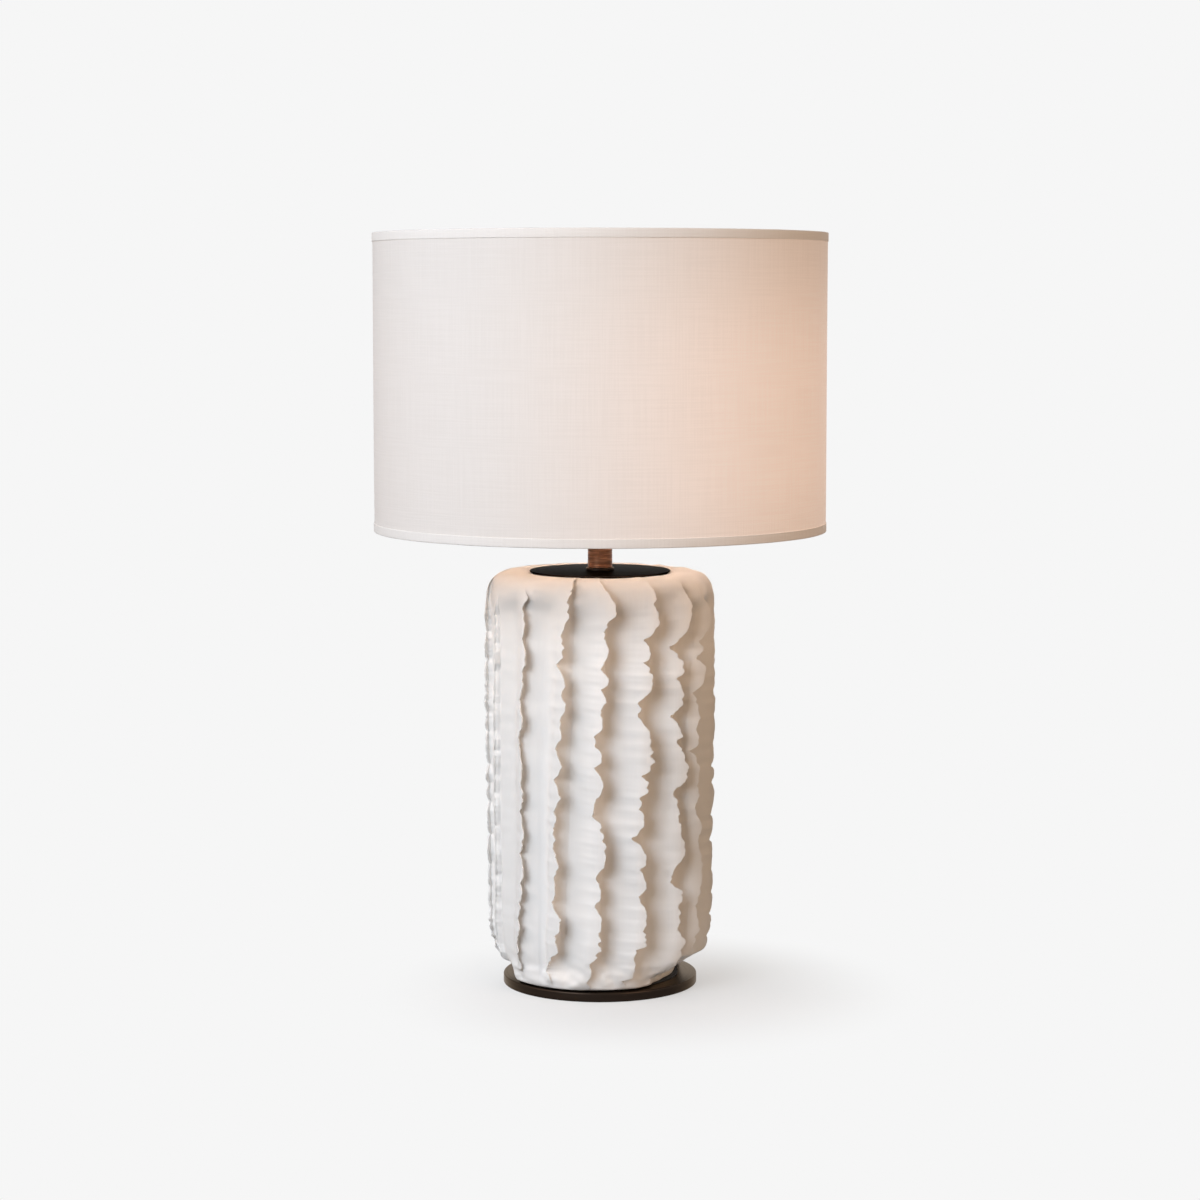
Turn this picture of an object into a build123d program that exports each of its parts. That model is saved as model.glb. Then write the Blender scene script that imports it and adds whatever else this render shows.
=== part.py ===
from build123d import *
import math
import os
import random

# Ceramic table lamp. A hollow hand-built body with carved, ruffled fins stands on a metal
# plate and is clamped to it, through a thin cap, by one threaded tube. A short neck on the
# cap carries a bulb holder with a turn knob, and a ring screwed on the holder's skirt
# clamps the wire fitter of a linen drum shade.
# Millimetres, +Z up, origin on the table under the middle of the lamp, front towards -Y.

# Clearances
THREAD_GAP = 0.2      # radial, round the threaded tube
RUN_GAP = 0.06        # radial, between a turning piece and its seat
FIT_GAP = 0.1         # radial, between pieces that slide together once
LAY_GAP = 0.05        # between the glued layers of the shade
LIFT_GAP = 0.3        # radial, round the bulb in its holder

# Foot: pad, plate and the fasteners in its recess
PAD_R, PAD_T = 80.0, 1.0
PLATE_R, PLATE_T = 86.6, 7.4
PLATE_EDGE = 1.0
RECESS_R, RECESS_DEPTH = 19.0, 5.4
WASHER_R, WASHER_T = 16.0, 1.2
LOCK_R, LOCK_T = 8.0, 0.9
NUT_FLATS, NUT_T = 14.0, 3.0
GASKET_T = 1.0
GASKET_LIP = 2.0
LOCATOR_T = 6.0

# Threaded tube
ROD_R, ROD_BORE_R = 5.0, 3.8
ROD_END = 0.3         # how far it stops short of the plate's underside
ROD_INTO_HUB = 9.0
CORD_SLOT = (5.0, 18.0)
CORD_SLOT_Z = 50.0

# Ceramic body
BODY_H = 358.3
FOOT_R, FOOT_H = 72.0, 5.0
FOOT_BORE_R, FOOT_BORE_H = 60.0, 8.0
CORE_R = 97.0         # limit of the carved core, where the fins grow out of it
CAVITY_R = 76.5
CROWN_T = 10.0
CROWN_R = 76.0        # edge of the flat crown
CROWN_BORE_R = 15.0
SHOULDER_H = 22.0
SKIRT_H = 50.0        # height over which the core widens from the foot

# Ruffled fins
FIN_COUNT = 16
FIN_PHASE = 1.5       # degrees, from the front to the nearest fin
FIN_R = 103.0
FIN_LOW_R = 100.5
FIN_RISE = 2.6        # how far a fin's end stands over the crown
FIN_START = 5.0       # where the fins begin over the underside of the foot
FIN_TIP_T, FIN_ROOT_T = 2.8, 6.0
FIN_OVER = 2.0        # the raw fin runs past its finished outline by this much
FIN_SLANT = 8.0       # sideways drift of a fin's edge from bottom to top
FIN_SHIFT = 1.5       # the ring of fins stands this far left of the foot
FLUTE_RIDGE_R, FLUTE_LAND_R, FLUTE_LOW_R = 92.5, 88.0, 85.0
NOTCH_DEPTH = (1.0, 4.5)
LOBE_SHARE = (0.16, 0.26)
LOBE_MAX = 8.0
LOBE_LENGTH = (17.0, 35.0)
CARVING_SEED = 70

# Notch heights over the table on the five fins that face the front, fin 0 in the middle
FRONT_NOTCHES = {
    -2: (70, 103, 128, 166, 190, 215, 240, 265, 288, 317, 345),
    -1: (41, 59, 88, 109, 138, 171, 196, 224, 251, 272, 295, 325, 354),
    0: (38, 66, 87, 112, 145, 165, 181, 209, 231, 261, 277, 293, 328),
    1: (37, 51, 68, 96, 119, 147, 182, 200, 226, 254, 300, 321, 351),
    2: (44, 60, 83, 104, 140, 184, 229, 251, 282, 312, 345),
}

# Cable outlet at the back, in the flute left of the rearmost fin
OUTLET_FIN, OUTLET_TURN = 7, 12.0
OUTLET_Z = 37.0
OUTLET_R, OUTLET_BORE_R = 5.0, 3.5
OUTLET_FLANGE_R, OUTLET_FLANGE_T = 8.5, 2.0
OUTLET_SEAT_R = 84.0
OUTLET_REACH = 13.0

# Cap, collar and neck
BUSH_FLANGE_R, BUSH_BARREL = 22.0, 9.5
CROWN_GASKET_R, CROWN_GASKET_T = 60.0, 1.8
CAP_R, CAP_T = 62.4, 1.2
CAP_EDGE = 0.35
COLLAR_R, COLLAR_H = 12.4, 2.6
COLLAR_EDGE = 0.8
NECK_R, NECK_WALL, NECK_L = 10.9, 1.3, 44.7

# Bulb holder, heights counted from the top of the neck
HUB_R, HUB_H, HUB_FLOOR = 11.6, 5.0, 10.0
CUP_R, CUP_T, CUP_H = 19.3, 0.8, 18.0
CUP_LAP = 5.0         # how far the shell reaches down into the cup
SHELL_T = 0.7
FLANGE_R, FLANGE_T, FLANGE_Z = 22.5, 2.0, 42.0
SKIRT_R, SKIRT_TOP = 19.6, 62.0
LIP_R, LIP_T = 15.2, 1.5
LINER_T, LINER_TOP = 0.6, 57.0
SWITCH_R, SWITCH_FOOT, SWITCH_TOP = 16.6, 13.0, 36.0
SWITCH_FLAT = 12.8
SWITCH_AXIS_Z = 28.0
SCREW_SHELL_T, SCREW_SHELL_TOP = 0.5, 61.0
SCREW_SHELL_BORE_R = 6.8
CONTACT_W, CONTACT_T, CONTACT_RISE = 5.0, 0.6, 3.0
TERMINAL_HEAD_R, TERMINAL_HEAD_T = 3.0, 2.0
TERMINAL_SHANK_R, TERMINAL_SHANK_L = 1.5, 5.0
TERMINAL_Z = 22.0
HUB_SCREW_R, HUB_SCREW_Z = 1.5, 2.5
STEM_R, STEM_IN, STEM_OUT = 2.0, 9.0, 30.0
KNOB_R, KNOB_L, KNOB_FLUTES = 6.0, 11.0, 10
KNOB_FLUTE_R = 1.0

# Ring that clamps the shade
RING_R, RING_T, RING_NOTCHES, RING_NOTCH_R = 25.0, 6.0, 12, 1.6

# Shade
SHADE_R, SHADE_H = 200.0, 261.2
SHADE_DROP = 53.7     # from the holder's flange down to the lower rim
HEM_H, HEM_T = 7.7, 0.5
COVER_T, LINER_SHEET_T = 0.5, 0.5
SEAM_W, SEAM_T = 9.0, 0.35
HOOP_T, HOOP_H = 2.2, 5.0
FITTER_R, FITTER_T, FITTER_GAP = 29.5, 1.6, 0.4
ARM_R, ARM_COUNT, ARM_BEND = 1.6, 3, 22.0
ARM_LEVEL, ARM_FOOT = 34.0, 20.0

# Bulb
BULB_R, BULB_L = 30.0, 106.0
BULB_GAP = 0.2        # between the bulb and the holder's spring contact
BULB_CAP_R, BULB_CAP_T, BULB_CAP_L = 13.0, 0.5, 23.0
BULB_TIP_R, BULB_TIP_T, BULB_TIP_DOME = 4.7, 1.5, 16.0
BULB_GLASS_H = 4.0
HOUSING_FOOT_R, HOUSING_TOP_R = 14.4, 26.0
HOUSING_PLUG = 6.0
DIFFUSER_T = 1.2
BOARD_R, BOARD_T = 22.0, 1.5

# Heights that follow
PLATE_Z = PAD_T
PLATE_TOP = PLATE_Z + PLATE_T
RECESS_TOP = PLATE_Z + RECESS_DEPTH
FOOT_Z = PLATE_TOP + GASKET_T
CROWN_Z = FOOT_Z + BODY_H
CAP_Z = CROWN_Z + CROWN_GASKET_T
COLLAR_Z = CAP_Z + CAP_T
NECK_Z = COLLAR_Z + COLLAR_H
HOLDER_Z = NECK_Z + NECK_L
SEAT_Z = HOLDER_Z + FLANGE_Z
SHADE_Z = SEAT_Z - SHADE_DROP
SHADE_TOP = SHADE_Z + SHADE_H
RING_Z = SEAT_Z + FITTER_T + LIFT_GAP
SWITCH_TOP_Z = HOLDER_Z + SWITCH_TOP
BULB_Z = SWITCH_TOP_Z + CONTACT_RISE + BULB_GAP
BULB_CENTRE_Z = BULB_Z + BULB_L - BULB_R

# Radii that follow
ROD_HOLE_R = ROD_R + THREAD_GAP
FOOT_GASKET_R = FOOT_R - GASKET_LIP
SHELL_R = CUP_R - CUP_T - FIT_GAP
SHELL_BORE_R = SHELL_R - SHELL_T
SCREW_SHELL_R = BULB_CAP_R + LIFT_GAP
COVER_R = SHADE_R - HEM_T - LAY_GAP
LINER_R = COVER_R - COVER_T - LAY_GAP
HOOP_R = LINER_R - LINER_SHEET_T - LAY_GAP
HEM_INNER_R = HOOP_R - HOOP_T - LAY_GAP - HEM_T


def disc(radius, z, thickness, bore=0.0):
    """A round plate standing on height z, with an optional hole through it."""
    solid = Pos(0, 0, z) * extrude(Circle(radius), thickness)
    if bore:
        solid -= Pos(0, 0, z) * extrude(Circle(bore), thickness)
    return solid


def turned(*points):
    """A solid of revolution about +Z from the corners (radius, height) of its profile."""
    return revolve(Plane.XZ * make_face(Polyline(*points, close=True)), Axis.Z)


def around(count, solid, phase=0.0):
    """Copies of a solid, evenly spaced about +Z."""
    return [Rot(0, 0, phase + i * 360 / count) * solid for i in range(count)]


def polar(radius, degrees):
    """A plan point, with the angle counted from the front towards the right."""
    turn = math.radians(degrees - 90)
    return radius * math.cos(turn), radius * math.sin(turn)


def fin_notches(fin):
    """Heights of a fin's notches, its ends among them: seen ones, or drawn at random."""
    low, high = FOOT_Z + FIN_START - FIN_OVER, CROWN_Z + FIN_RISE + FIN_OVER
    draw = random.Random(CARVING_SEED + fin)
    side = fin if fin < FIN_COUNT / 2 else fin - FIN_COUNT
    if side in FRONT_NOTCHES:
        inner = list(FRONT_NOTCHES[side])
    else:
        inner, z = [], low + draw.uniform(*LOBE_LENGTH)
        while z < high - LOBE_LENGTH[0]:
            inner.append(z)
            z += draw.uniform(*LOBE_LENGTH)
    return [low] + inner + [high]


def fin_edge(fin):
    """Notch points (sideways, height) of a fin's edge, and the height of each lobe."""
    heights = fin_notches(fin)
    draw = random.Random(CARVING_SEED * 2 + fin)
    middle = FOOT_Z + BODY_H / 2
    notches = [
        (FIN_SLANT * (z - middle) / BODY_H - draw.uniform(*NOTCH_DEPTH), z) for z in heights
    ]
    lobes = [
        min(draw.uniform(*LOBE_SHARE) * (b - a), LOBE_MAX) for a, b in zip(heights, heights[1:])
    ]
    return notches, lobes


def fin_section(fin, radius, ruffle, thickness):
    """The fin's outline on a plane at a radius: lobes and notches, as deep as ruffle says."""
    notches, lobes = fin_edge(fin)
    half = thickness / 2
    right, left = [], []
    for (t0, z0), (t1, z1), lobe in zip(notches, notches[1:], lobes):
        t0, t1, peak = t0 * ruffle, t1 * ruffle, lobe * ruffle + (t0 + t1) * ruffle / 2
        middle = (z0 + z1) / 2
        right.append(ThreePointArc((t0 + half, z0), (peak + half, middle), (t1 + half, z1)))
        left.append(ThreePointArc((t1 - half, z1), (peak - half, middle), (t0 - half, z0)))
    top = Line(right[-1] @ 1, left[-1] @ 0)
    bottom = Line(left[0] @ 1, right[0] @ 0)
    plane = Plane(origin=(0, -radius, 0), x_dir=(1, 0, 0), z_dir=(0, -1, 0))
    return plane * make_face(right + [top] + left[::-1] + [bottom])


def fin_envelope():
    """The turned outline that all fins are finished to, shoulder and foot included."""
    top, low = CROWN_Z + FIN_RISE, FOOT_Z + FIN_START
    inner = CAP_R + FIN_SHIFT
    wall = Polyline(
        (FIN_R, CROWN_Z - SHOULDER_H), (FIN_R, FOOT_Z + BODY_H * 0.55), (FIN_LOW_R, FOOT_Z + SKIRT_H)
    )
    shoulder = ThreePointArc(
        (CORE_R - 9, top - 1), (FIN_R - 4, CROWN_Z - SHOULDER_H / 4), wall @ 0
    )
    foot = ThreePointArc(wall @ 1, (CORE_R - 1, low + 19), (CORE_R - 9, low + 3))
    inside = Polyline(
        foot @ 1, (FOOT_R + 4, low), (CAVITY_R / 2, low), (CAVITY_R / 2, CROWN_Z),
        (inner, CROWN_Z), (inner, top), shoulder @ 0,
    )
    return Pos(-FIN_SHIFT, 0, 0) * revolve(Plane.XZ * make_face([wall, shoulder, foot, inside]), Axis.Z)


def fluted_core():
    """The carved core: a scooped channel between each pair of fins, rounded off above and below."""
    edges = []
    step = 360 / FIN_COUNT
    for i in range(FIN_COUNT):
        tip = i * step + FIN_PHASE
        ridge, land = polar(FLUTE_RIDGE_R, tip - 1.2), polar(FLUTE_LAND_R, tip + 2.2)
        crease = polar(FLUTE_LAND_R - 0.8, tip + 0.3 * step)
        edges.append(Polyline(ridge, land, crease))
        edges.append(
            ThreePointArc(crease, polar(FLUTE_LOW_R, tip + 0.56 * step), polar(FLUTE_RIDGE_R, tip + step - 1.2))
        )
    prism = Pos(0, 0, FOOT_Z) * extrude(make_face(edges), BODY_H)
    foot_top, shoulder_z = FOOT_Z + FOOT_H, CROWN_Z - SHOULDER_H
    foot = Polyline((0, CROWN_Z), (0, FOOT_Z), (FOOT_R, FOOT_Z), (FOOT_R, foot_top), (FOOT_R + 12, foot_top + 10))
    belly = ThreePointArc(foot @ 1, (CORE_R - 3, FOOT_Z + SKIRT_H * 0.6), (CORE_R, FOOT_Z + SKIRT_H))
    wall = Line(belly @ 1, (CORE_R, shoulder_z))
    shoulder = ThreePointArc(wall @ 1, (CORE_R - 6, CROWN_Z - SHOULDER_H * 0.3), (CROWN_R, CROWN_Z))
    crown = Line(shoulder @ 1, foot @ 0)
    return prism & revolve(Plane.XZ * make_face([foot, belly, wall, shoulder, crown]), Axis.Z)


def cavity():
    """The hollow inside of the body, open at the foot and at the hole in the crown."""
    roof = CROWN_Z - CROWN_T
    bowl = FOOT_Z + FOOT_BORE_H
    walls = Polyline(
        (0, FOOT_Z), (FOOT_BORE_R, FOOT_Z), (FOOT_BORE_R, bowl), (CAVITY_R, bowl + 22), (CAVITY_R, roof - 22)
    )
    vault = ThreePointArc(walls @ 1, (CAVITY_R - 5, roof - 7), (CAVITY_R - 17, roof))
    top = Polyline(vault @ 1, (0, roof), walls @ 0)
    hollow = revolve(Plane.XZ * make_face([walls, vault, top]), Axis.Z)
    return hollow + disc(CROWN_BORE_R, roof, CROWN_T)


def outlet_frame():
    """The outlet's place: local +Z points out of the back, along the hole."""
    turn = FIN_PHASE + OUTLET_FIN * 360 / FIN_COUNT + OUTLET_TURN
    x, y = polar(OUTLET_SEAT_R, turn)
    return Plane(origin=(x, y, OUTLET_Z), x_dir=(0, 0, 1), z_dir=(x, y, 0))


def ceramic_body():
    """The hollow body with its sixteen ruffled fins, the outlet drilled at the back."""
    envelope = fin_envelope()
    body = fluted_core()
    fins = []
    for i in range(FIN_COUNT):
        raw = loft(
            [
                fin_section(i, CAP_R, 0.1, FIN_ROOT_T),
                fin_section(i, FIN_R + FIN_OVER + FIN_SHIFT, 1.0, FIN_TIP_T),
            ],
            ruled=True,
        )
        fins.append((Rot(0, 0, FIN_PHASE + i * 360 / FIN_COUNT) * raw) & envelope)
    body = body.fuse(*fins) - cavity()
    seat = outlet_frame()
    body -= seat * extrude(Circle(OUTLET_FLANGE_R + FIT_GAP), FIN_R - OUTLET_SEAT_R + FIN_OVER)
    return body - seat * extrude(Circle(OUTLET_R + FIT_GAP), -OUTLET_REACH * 1.5)


def cord_grommet():
    """Bushing of the cable outlet: a flange on the seat and a barrel through the wall."""
    flange = chamfer(extrude(Circle(OUTLET_FLANGE_R), OUTLET_FLANGE_T).edges().group_by(Axis.Z)[-1], 0.8)
    bushing = flange + extrude(Circle(OUTLET_R), -OUTLET_REACH)
    bore = extrude(Circle(OUTLET_BORE_R), OUTLET_REACH + OUTLET_FLANGE_T, both=True)
    return outlet_frame() * (bushing - bore)


def base_plate():
    """Heavy plate with a softened top edge and a recess under it for the clamping nut."""
    plate = disc(PLATE_R, PLATE_Z, PLATE_T)
    plate = fillet(plate.edges().group_by(Axis.Z)[-1], PLATE_EDGE)
    plate -= disc(RECESS_R, PLATE_Z, RECESS_DEPTH)
    return plate - disc(ROD_HOLE_R, RECESS_TOP, PLATE_TOP - RECESS_TOP)


def hex_nut(z):
    """A thin hexagon nut, its top corners turned off."""
    corner = NUT_FLATS / math.sqrt(3)
    blank = extrude(RegularPolygon(corner, 6), NUT_T)
    cone = turned((0, 0), (corner, 0), (corner, NUT_T * 0.8), (NUT_FLATS / 2, NUT_T), (0, NUT_T))
    return Pos(0, 0, z) * (blank & cone) - disc(ROD_HOLE_R, z, NUT_T)


def lock_washer(z):
    """A split spring washer, drawn flat, with its slanting gap."""
    ring = disc(LOCK_R, z, LOCK_T, ROD_HOLE_R)
    gap = Pos((ROD_HOLE_R + LOCK_R) / 2, 0, z + LOCK_T / 2) * Rot(20, 0, 0)
    return ring - gap * Box(2 * LOCK_R - ROD_HOLE_R, 1.0, LOCK_T * 4)


def lamp_rod():
    """Threaded tube from the plate's recess to the holder's hub, slotted for the cable."""
    foot = PLATE_Z + ROD_END
    rod = disc(ROD_R, foot, HOLDER_Z + ROD_INTO_HUB - foot, ROD_BORE_R)
    slot = extrude(Plane.XZ * SlotOverall(CORD_SLOT[1], CORD_SLOT[0], rotation=90), -2 * ROD_R)
    return rod - Pos(0, 0, CORD_SLOT_Z) * slot


def crown_bush():
    """Flanged bush that centres the tube in the crown, flush with the gasket round it."""
    barrel_r = CROWN_BORE_R - FIT_GAP
    return turned(
        (ROD_HOLE_R, CROWN_Z - BUSH_BARREL), (barrel_r, CROWN_Z - BUSH_BARREL), (barrel_r, CROWN_Z),
        (BUSH_FLANGE_R, CROWN_Z), (BUSH_FLANGE_R, CAP_Z), (ROD_HOLE_R, CAP_Z),
    )


def rounded_disc(radius, z, thickness, edge):
    """A thin metal disc on the tube, its rim rounded above and below."""
    solid = disc(radius, z, thickness)
    return fillet(solid.edges(), edge) - disc(ROD_HOLE_R, z, thickness)


def neck_collar():
    """Turned collar under the neck, its top edge rounded."""
    solid = disc(COLLAR_R, COLLAR_Z, COLLAR_H)
    return fillet(solid.edges().group_by(Axis.Z)[-1], COLLAR_EDGE) - disc(ROD_HOLE_R, COLLAR_Z, COLLAR_H)


def socket_cap():
    """Spun cup under the holder, with a hub that screws on the tube and takes a set screw."""
    z = HOLDER_Z
    bore_r = CUP_R - CUP_T
    bell = z + HUB_FLOOR + 3
    hub = Polyline(
        (ROD_HOLE_R, z + HUB_FLOOR), (ROD_HOLE_R, z), (HUB_R, z), (HUB_R, z + HUB_H)
    )
    outer = ThreePointArc(hub @ 1, (CUP_R - 2, z + HUB_H + 3), (CUP_R, bell))
    wall = Polyline(outer @ 1, (CUP_R, z + CUP_H), (bore_r, z + CUP_H), (bore_r, bell))
    inner = ThreePointArc(wall @ 1, (bore_r - 2, z + HUB_H + 4), (HUB_R, z + HUB_H + 1))
    seat = Polyline(inner @ 1, (HUB_R - 2, z + HUB_FLOOR), hub @ 0)
    cup = revolve(Plane.XZ * make_face([hub, outer, wall, inner, seat]), Axis.Z)
    return cup - screw_hole()


def screw_hole():
    """The set screw's radial hole through the hub, on the left side."""
    return Pos(0, 0, HOLDER_Z + HUB_SCREW_Z) * Rot(0, -90, 0) * extrude(Circle(HUB_SCREW_R + FIT_GAP), HUB_R + 1)


def hub_screw():
    """Headless slotted set screw that locks the hub on the tube."""
    length = HUB_R - ROD_HOLE_R - 0.3
    screw = extrude(Circle(HUB_SCREW_R), length)
    screw -= Pos(0, 0, length) * Box(2 * HUB_SCREW_R, 0.5, 1.4)
    return Pos(-ROD_HOLE_R, 0, HOLDER_Z + HUB_SCREW_Z) * Rot(0, -90, 0) * screw


def stem_hole(radius):
    """A radial hole on the switch's axis, from the middle out to the right."""
    return Pos(0, 0, HOLDER_Z + SWITCH_AXIS_Z) * Rot(0, 90, 0) * extrude(Circle(radius), SKIRT_R + FLANGE_R)


def socket_shell():
    """Holder shell: plain below, a flange for the shade's fitter, then a threaded skirt."""
    z = HOLDER_Z
    foot, flange = z + CUP_H - CUP_LAP, z + FLANGE_Z
    top = z + SKIRT_TOP
    shell = turned(
        (SHELL_BORE_R, foot), (SHELL_R, foot), (SHELL_R, flange - FLANGE_T), (FLANGE_R, flange - FLANGE_T),
        (FLANGE_R, flange), (SKIRT_R, flange), (SKIRT_R, top), (LIP_R, top), (LIP_R, top - LIP_T),
        (SHELL_BORE_R, top - LIP_T),
    )
    return shell - stem_hole(STEM_R + 2 * LIFT_GAP)


def socket_liner():
    """Insulating paper sleeve inside the shell."""
    foot = HOLDER_Z + CUP_H - CUP_LAP
    outer = SHELL_BORE_R - FIT_GAP
    liner = disc(outer, foot, HOLDER_Z + LINER_TOP - foot, outer - LINER_T)
    return liner - stem_hole(STEM_R + 2 * LIFT_GAP)


def terminal_places():
    """The two terminal screws' axes, on the flats at the front and the back."""
    return [Pos(0, 0, HOLDER_Z + TERMINAL_Z) * Rot(turn, 0, 0) for turn in (90, -90)]


def switch_body():
    """Moulded insert that carries the contacts, with flats for the terminals and the stem's bore."""
    foot = HOLDER_Z + SWITCH_FOOT
    block = disc(SWITCH_R, foot, SWITCH_TOP_Z - foot)
    block &= Pos(0, 0, (foot + SWITCH_TOP_Z) / 2) * Box(2 * SWITCH_R, 2 * SWITCH_FLAT, SWITCH_TOP_Z - foot)
    hole = extrude(Circle(STEM_R + RUN_GAP), SWITCH_R)
    block -= Pos(STEM_IN, 0, HOLDER_Z + SWITCH_AXIS_Z) * Rot(0, 90, 0) * hole
    shank = Pos(0, 0, SWITCH_FLAT - TERMINAL_SHANK_L) * extrude(Circle(TERMINAL_SHANK_R + FIT_GAP), SWITCH_FLAT)
    for place in terminal_places():
        block -= place * shank
    return block


def terminal_screws():
    """The two slotted terminal screws."""
    screw = Pos(0, 0, SWITCH_FLAT - TERMINAL_SHANK_L) * extrude(Circle(TERMINAL_SHANK_R), TERMINAL_SHANK_L)
    screw += Pos(0, 0, SWITCH_FLAT) * extrude(Circle(TERMINAL_HEAD_R), TERMINAL_HEAD_T)
    screw -= Pos(0, 0, SWITCH_FLAT + TERMINAL_HEAD_T) * Box(2 * TERMINAL_HEAD_R, 0.7, 1.4)
    return [place * screw for place in terminal_places()]


def screw_shell():
    """Thin cup that the bulb screws into, open at its floor for the centre contact."""
    z, bore, outer = SWITCH_TOP_Z, SCREW_SHELL_R, SCREW_SHELL_R + SCREW_SHELL_T
    return turned(
        (SCREW_SHELL_BORE_R, z), (outer, z), (outer, HOLDER_Z + SCREW_SHELL_TOP), (bore, HOLDER_Z + SCREW_SHELL_TOP),
        (bore, z + SCREW_SHELL_T), (SCREW_SHELL_BORE_R, z + SCREW_SHELL_T),
    )


def centre_contact():
    """Sprung brass leaf: flat on the insert, folded back and up under the bulb's tip."""
    t, top = CONTACT_T, CONTACT_RISE
    leaf = Polyline(
        (-5, 0), (4, 0), (5.5, 1), (5, top - 0.8), (3, top), (-3, top), (-3, top - t), (2.6, top - t),
        (4.2, top - 1.2), (4.7, 1.2), (3.6, t), (-5, t), close=True,
    )
    strip = extrude(Plane.XZ * make_face(leaf), CONTACT_W / 2, both=True)
    return Pos(0, 0, SWITCH_TOP_Z) * strip


def switch_stem():
    """Turning stem of the switch."""
    return Pos(STEM_IN, 0, HOLDER_Z + SWITCH_AXIS_Z) * Rot(0, 90, 0) * extrude(Circle(STEM_R), STEM_OUT - STEM_IN)


def switch_knob():
    """Fluted knob on the stem, its outer edge rounded."""
    knob = extrude(Circle(KNOB_R), KNOB_L)
    knob = fillet(knob.edges().group_by(Axis.Z)[-1], 1.2)
    groove = Pos(KNOB_R, 0, 0) * extrude(Circle(KNOB_FLUTE_R), KNOB_L)
    knob -= around(KNOB_FLUTES, groove)
    knob -= extrude(Circle(STEM_R + RUN_GAP / 2), KNOB_L - 2)
    return Pos(STEM_OUT - KNOB_L + 2, 0, HOLDER_Z + SWITCH_AXIS_Z) * Rot(0, 90, 0) * knob


def shade_ring():
    """Screwed ring with finger notches, which holds the shade's fitter on the flange."""
    ring = disc(RING_R, RING_Z, RING_T)
    ring = chamfer(ring.edges().group_by(Axis.Z)[-1], 1.2)
    ring -= disc(SKIRT_R + RUN_GAP, RING_Z, RING_T)
    notch = Pos(RING_R, 0, RING_Z) * extrude(Circle(RING_NOTCH_R), RING_T)
    return ring - around(RING_NOTCHES, notch)


def fitter_ring():
    """Flat washer of the shade's fitter, loose over the threaded skirt."""
    return disc(FITTER_R, SEAT_Z, FITTER_T, SKIRT_R + FITTER_GAP)


def fitter_arms():
    """Three bent wires from the fitter's washer down to the lower hoop."""
    level, low = SEAT_Z + FITTER_T / 2, SHADE_Z + HEM_T + LAY_GAP + HOOP_H / 2
    inner, outer = FITTER_R, HOOP_R - HOOP_T - LAY_GAP
    path = FilletPolyline(
        (inner, 0, level), (inner + ARM_LEVEL, 0, level), (outer - ARM_FOOT, 0, low), (outer, 0, low),
        radius=ARM_BEND,
    )
    section = Plane(origin=path @ 0, z_dir=path % 0) * Circle(ARM_R)
    return around(ARM_COUNT, sweep(section, path), 90)


def hoop(z):
    """Flat steel hoop inside a rolled hem."""
    return disc(HOOP_R, z, HOOP_H, HOOP_R - HOOP_T)


def hem(rim, inward):
    """Linen band folded over a rim: an outer leg, a turn over the edge and an inner leg."""
    up = inward * HEM_T
    leg = inward * HEM_H
    outer, cover = SHADE_R, SHADE_R - HEM_T
    return turned(
        (outer, rim), (outer, rim + leg), (cover, rim + leg), (cover, rim + up),
        (HEM_INNER_R + HEM_T, rim + up), (HEM_INNER_R + HEM_T, rim + leg), (HEM_INNER_R, rim + leg),
        (HEM_INNER_R, rim),
    )


def lower_hem():
    """Hem of the lower rim, cut out round the fitter's arms."""
    low = SHADE_Z + HEM_T + LAY_GAP + HOOP_H / 2
    gap = Pos(0, 0, low) * Rot(0, 90, 0) * extrude(Circle(ARM_R + FIT_GAP), HOOP_R - HOOP_T)
    return hem(SHADE_Z, 1) - around(ARM_COUNT, gap, 90)


def shade_cover():
    """Linen wrap of the drum, with its lapped seam at the back."""
    z, height = SHADE_Z + HEM_T + LAY_GAP, SHADE_H - 2 * (HEM_T + LAY_GAP)
    wrap = disc(COVER_R, z, height, COVER_R - COVER_T)
    lap_z, lap_h = SHADE_Z + HEM_H + LAY_GAP, SHADE_H - 2 * (HEM_H + LAY_GAP)
    turn = math.degrees(SEAM_W / COVER_R)
    lap = Plane.XZ * Pos(COVER_R + SEAM_T / 2 - LAY_GAP / 2, lap_z + lap_h / 2)
    strip = revolve(lap * Rectangle(SEAM_T + LAY_GAP, lap_h), Axis.Z, revolution_arc=turn)
    return wrap + Rot(0, 0, 90 - turn / 2) * strip


def shade_liner():
    """Stiff translucent sheet inside the linen."""
    z, height = SHADE_Z + HEM_T + LAY_GAP, SHADE_H - 2 * (HEM_T + LAY_GAP)
    return disc(LINER_R, z, height, LINER_R - LINER_SHEET_T)


def bulb_cap():
    """Screw cap of the bulb, drawn at the size of its thread's crests."""
    z = BULB_Z + BULB_TIP_T + BULB_GLASS_H
    return disc(BULB_CAP_R, z, BULB_CAP_L, BULB_CAP_R - BULB_CAP_T)


def bulb_insulator():
    """Glass bead between the cap and the tip contact."""
    z = BULB_Z + BULB_TIP_T
    top = z + BULB_GLASS_H
    edge = BULB_CAP_R - BULB_CAP_T - FIT_GAP
    return turned((0, z), (BULB_TIP_R + 1, z), (BULB_CAP_R - 1, top), (edge, top), (edge, top + 2), (0, top + 2))


def bulb_contact():
    """Tip contact of the bulb, slightly domed."""
    dome = Pos(0, 0, BULB_Z + BULB_TIP_DOME) * Sphere(BULB_TIP_DOME)
    return disc(BULB_TIP_R, BULB_Z, BULB_TIP_T) & dome


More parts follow.
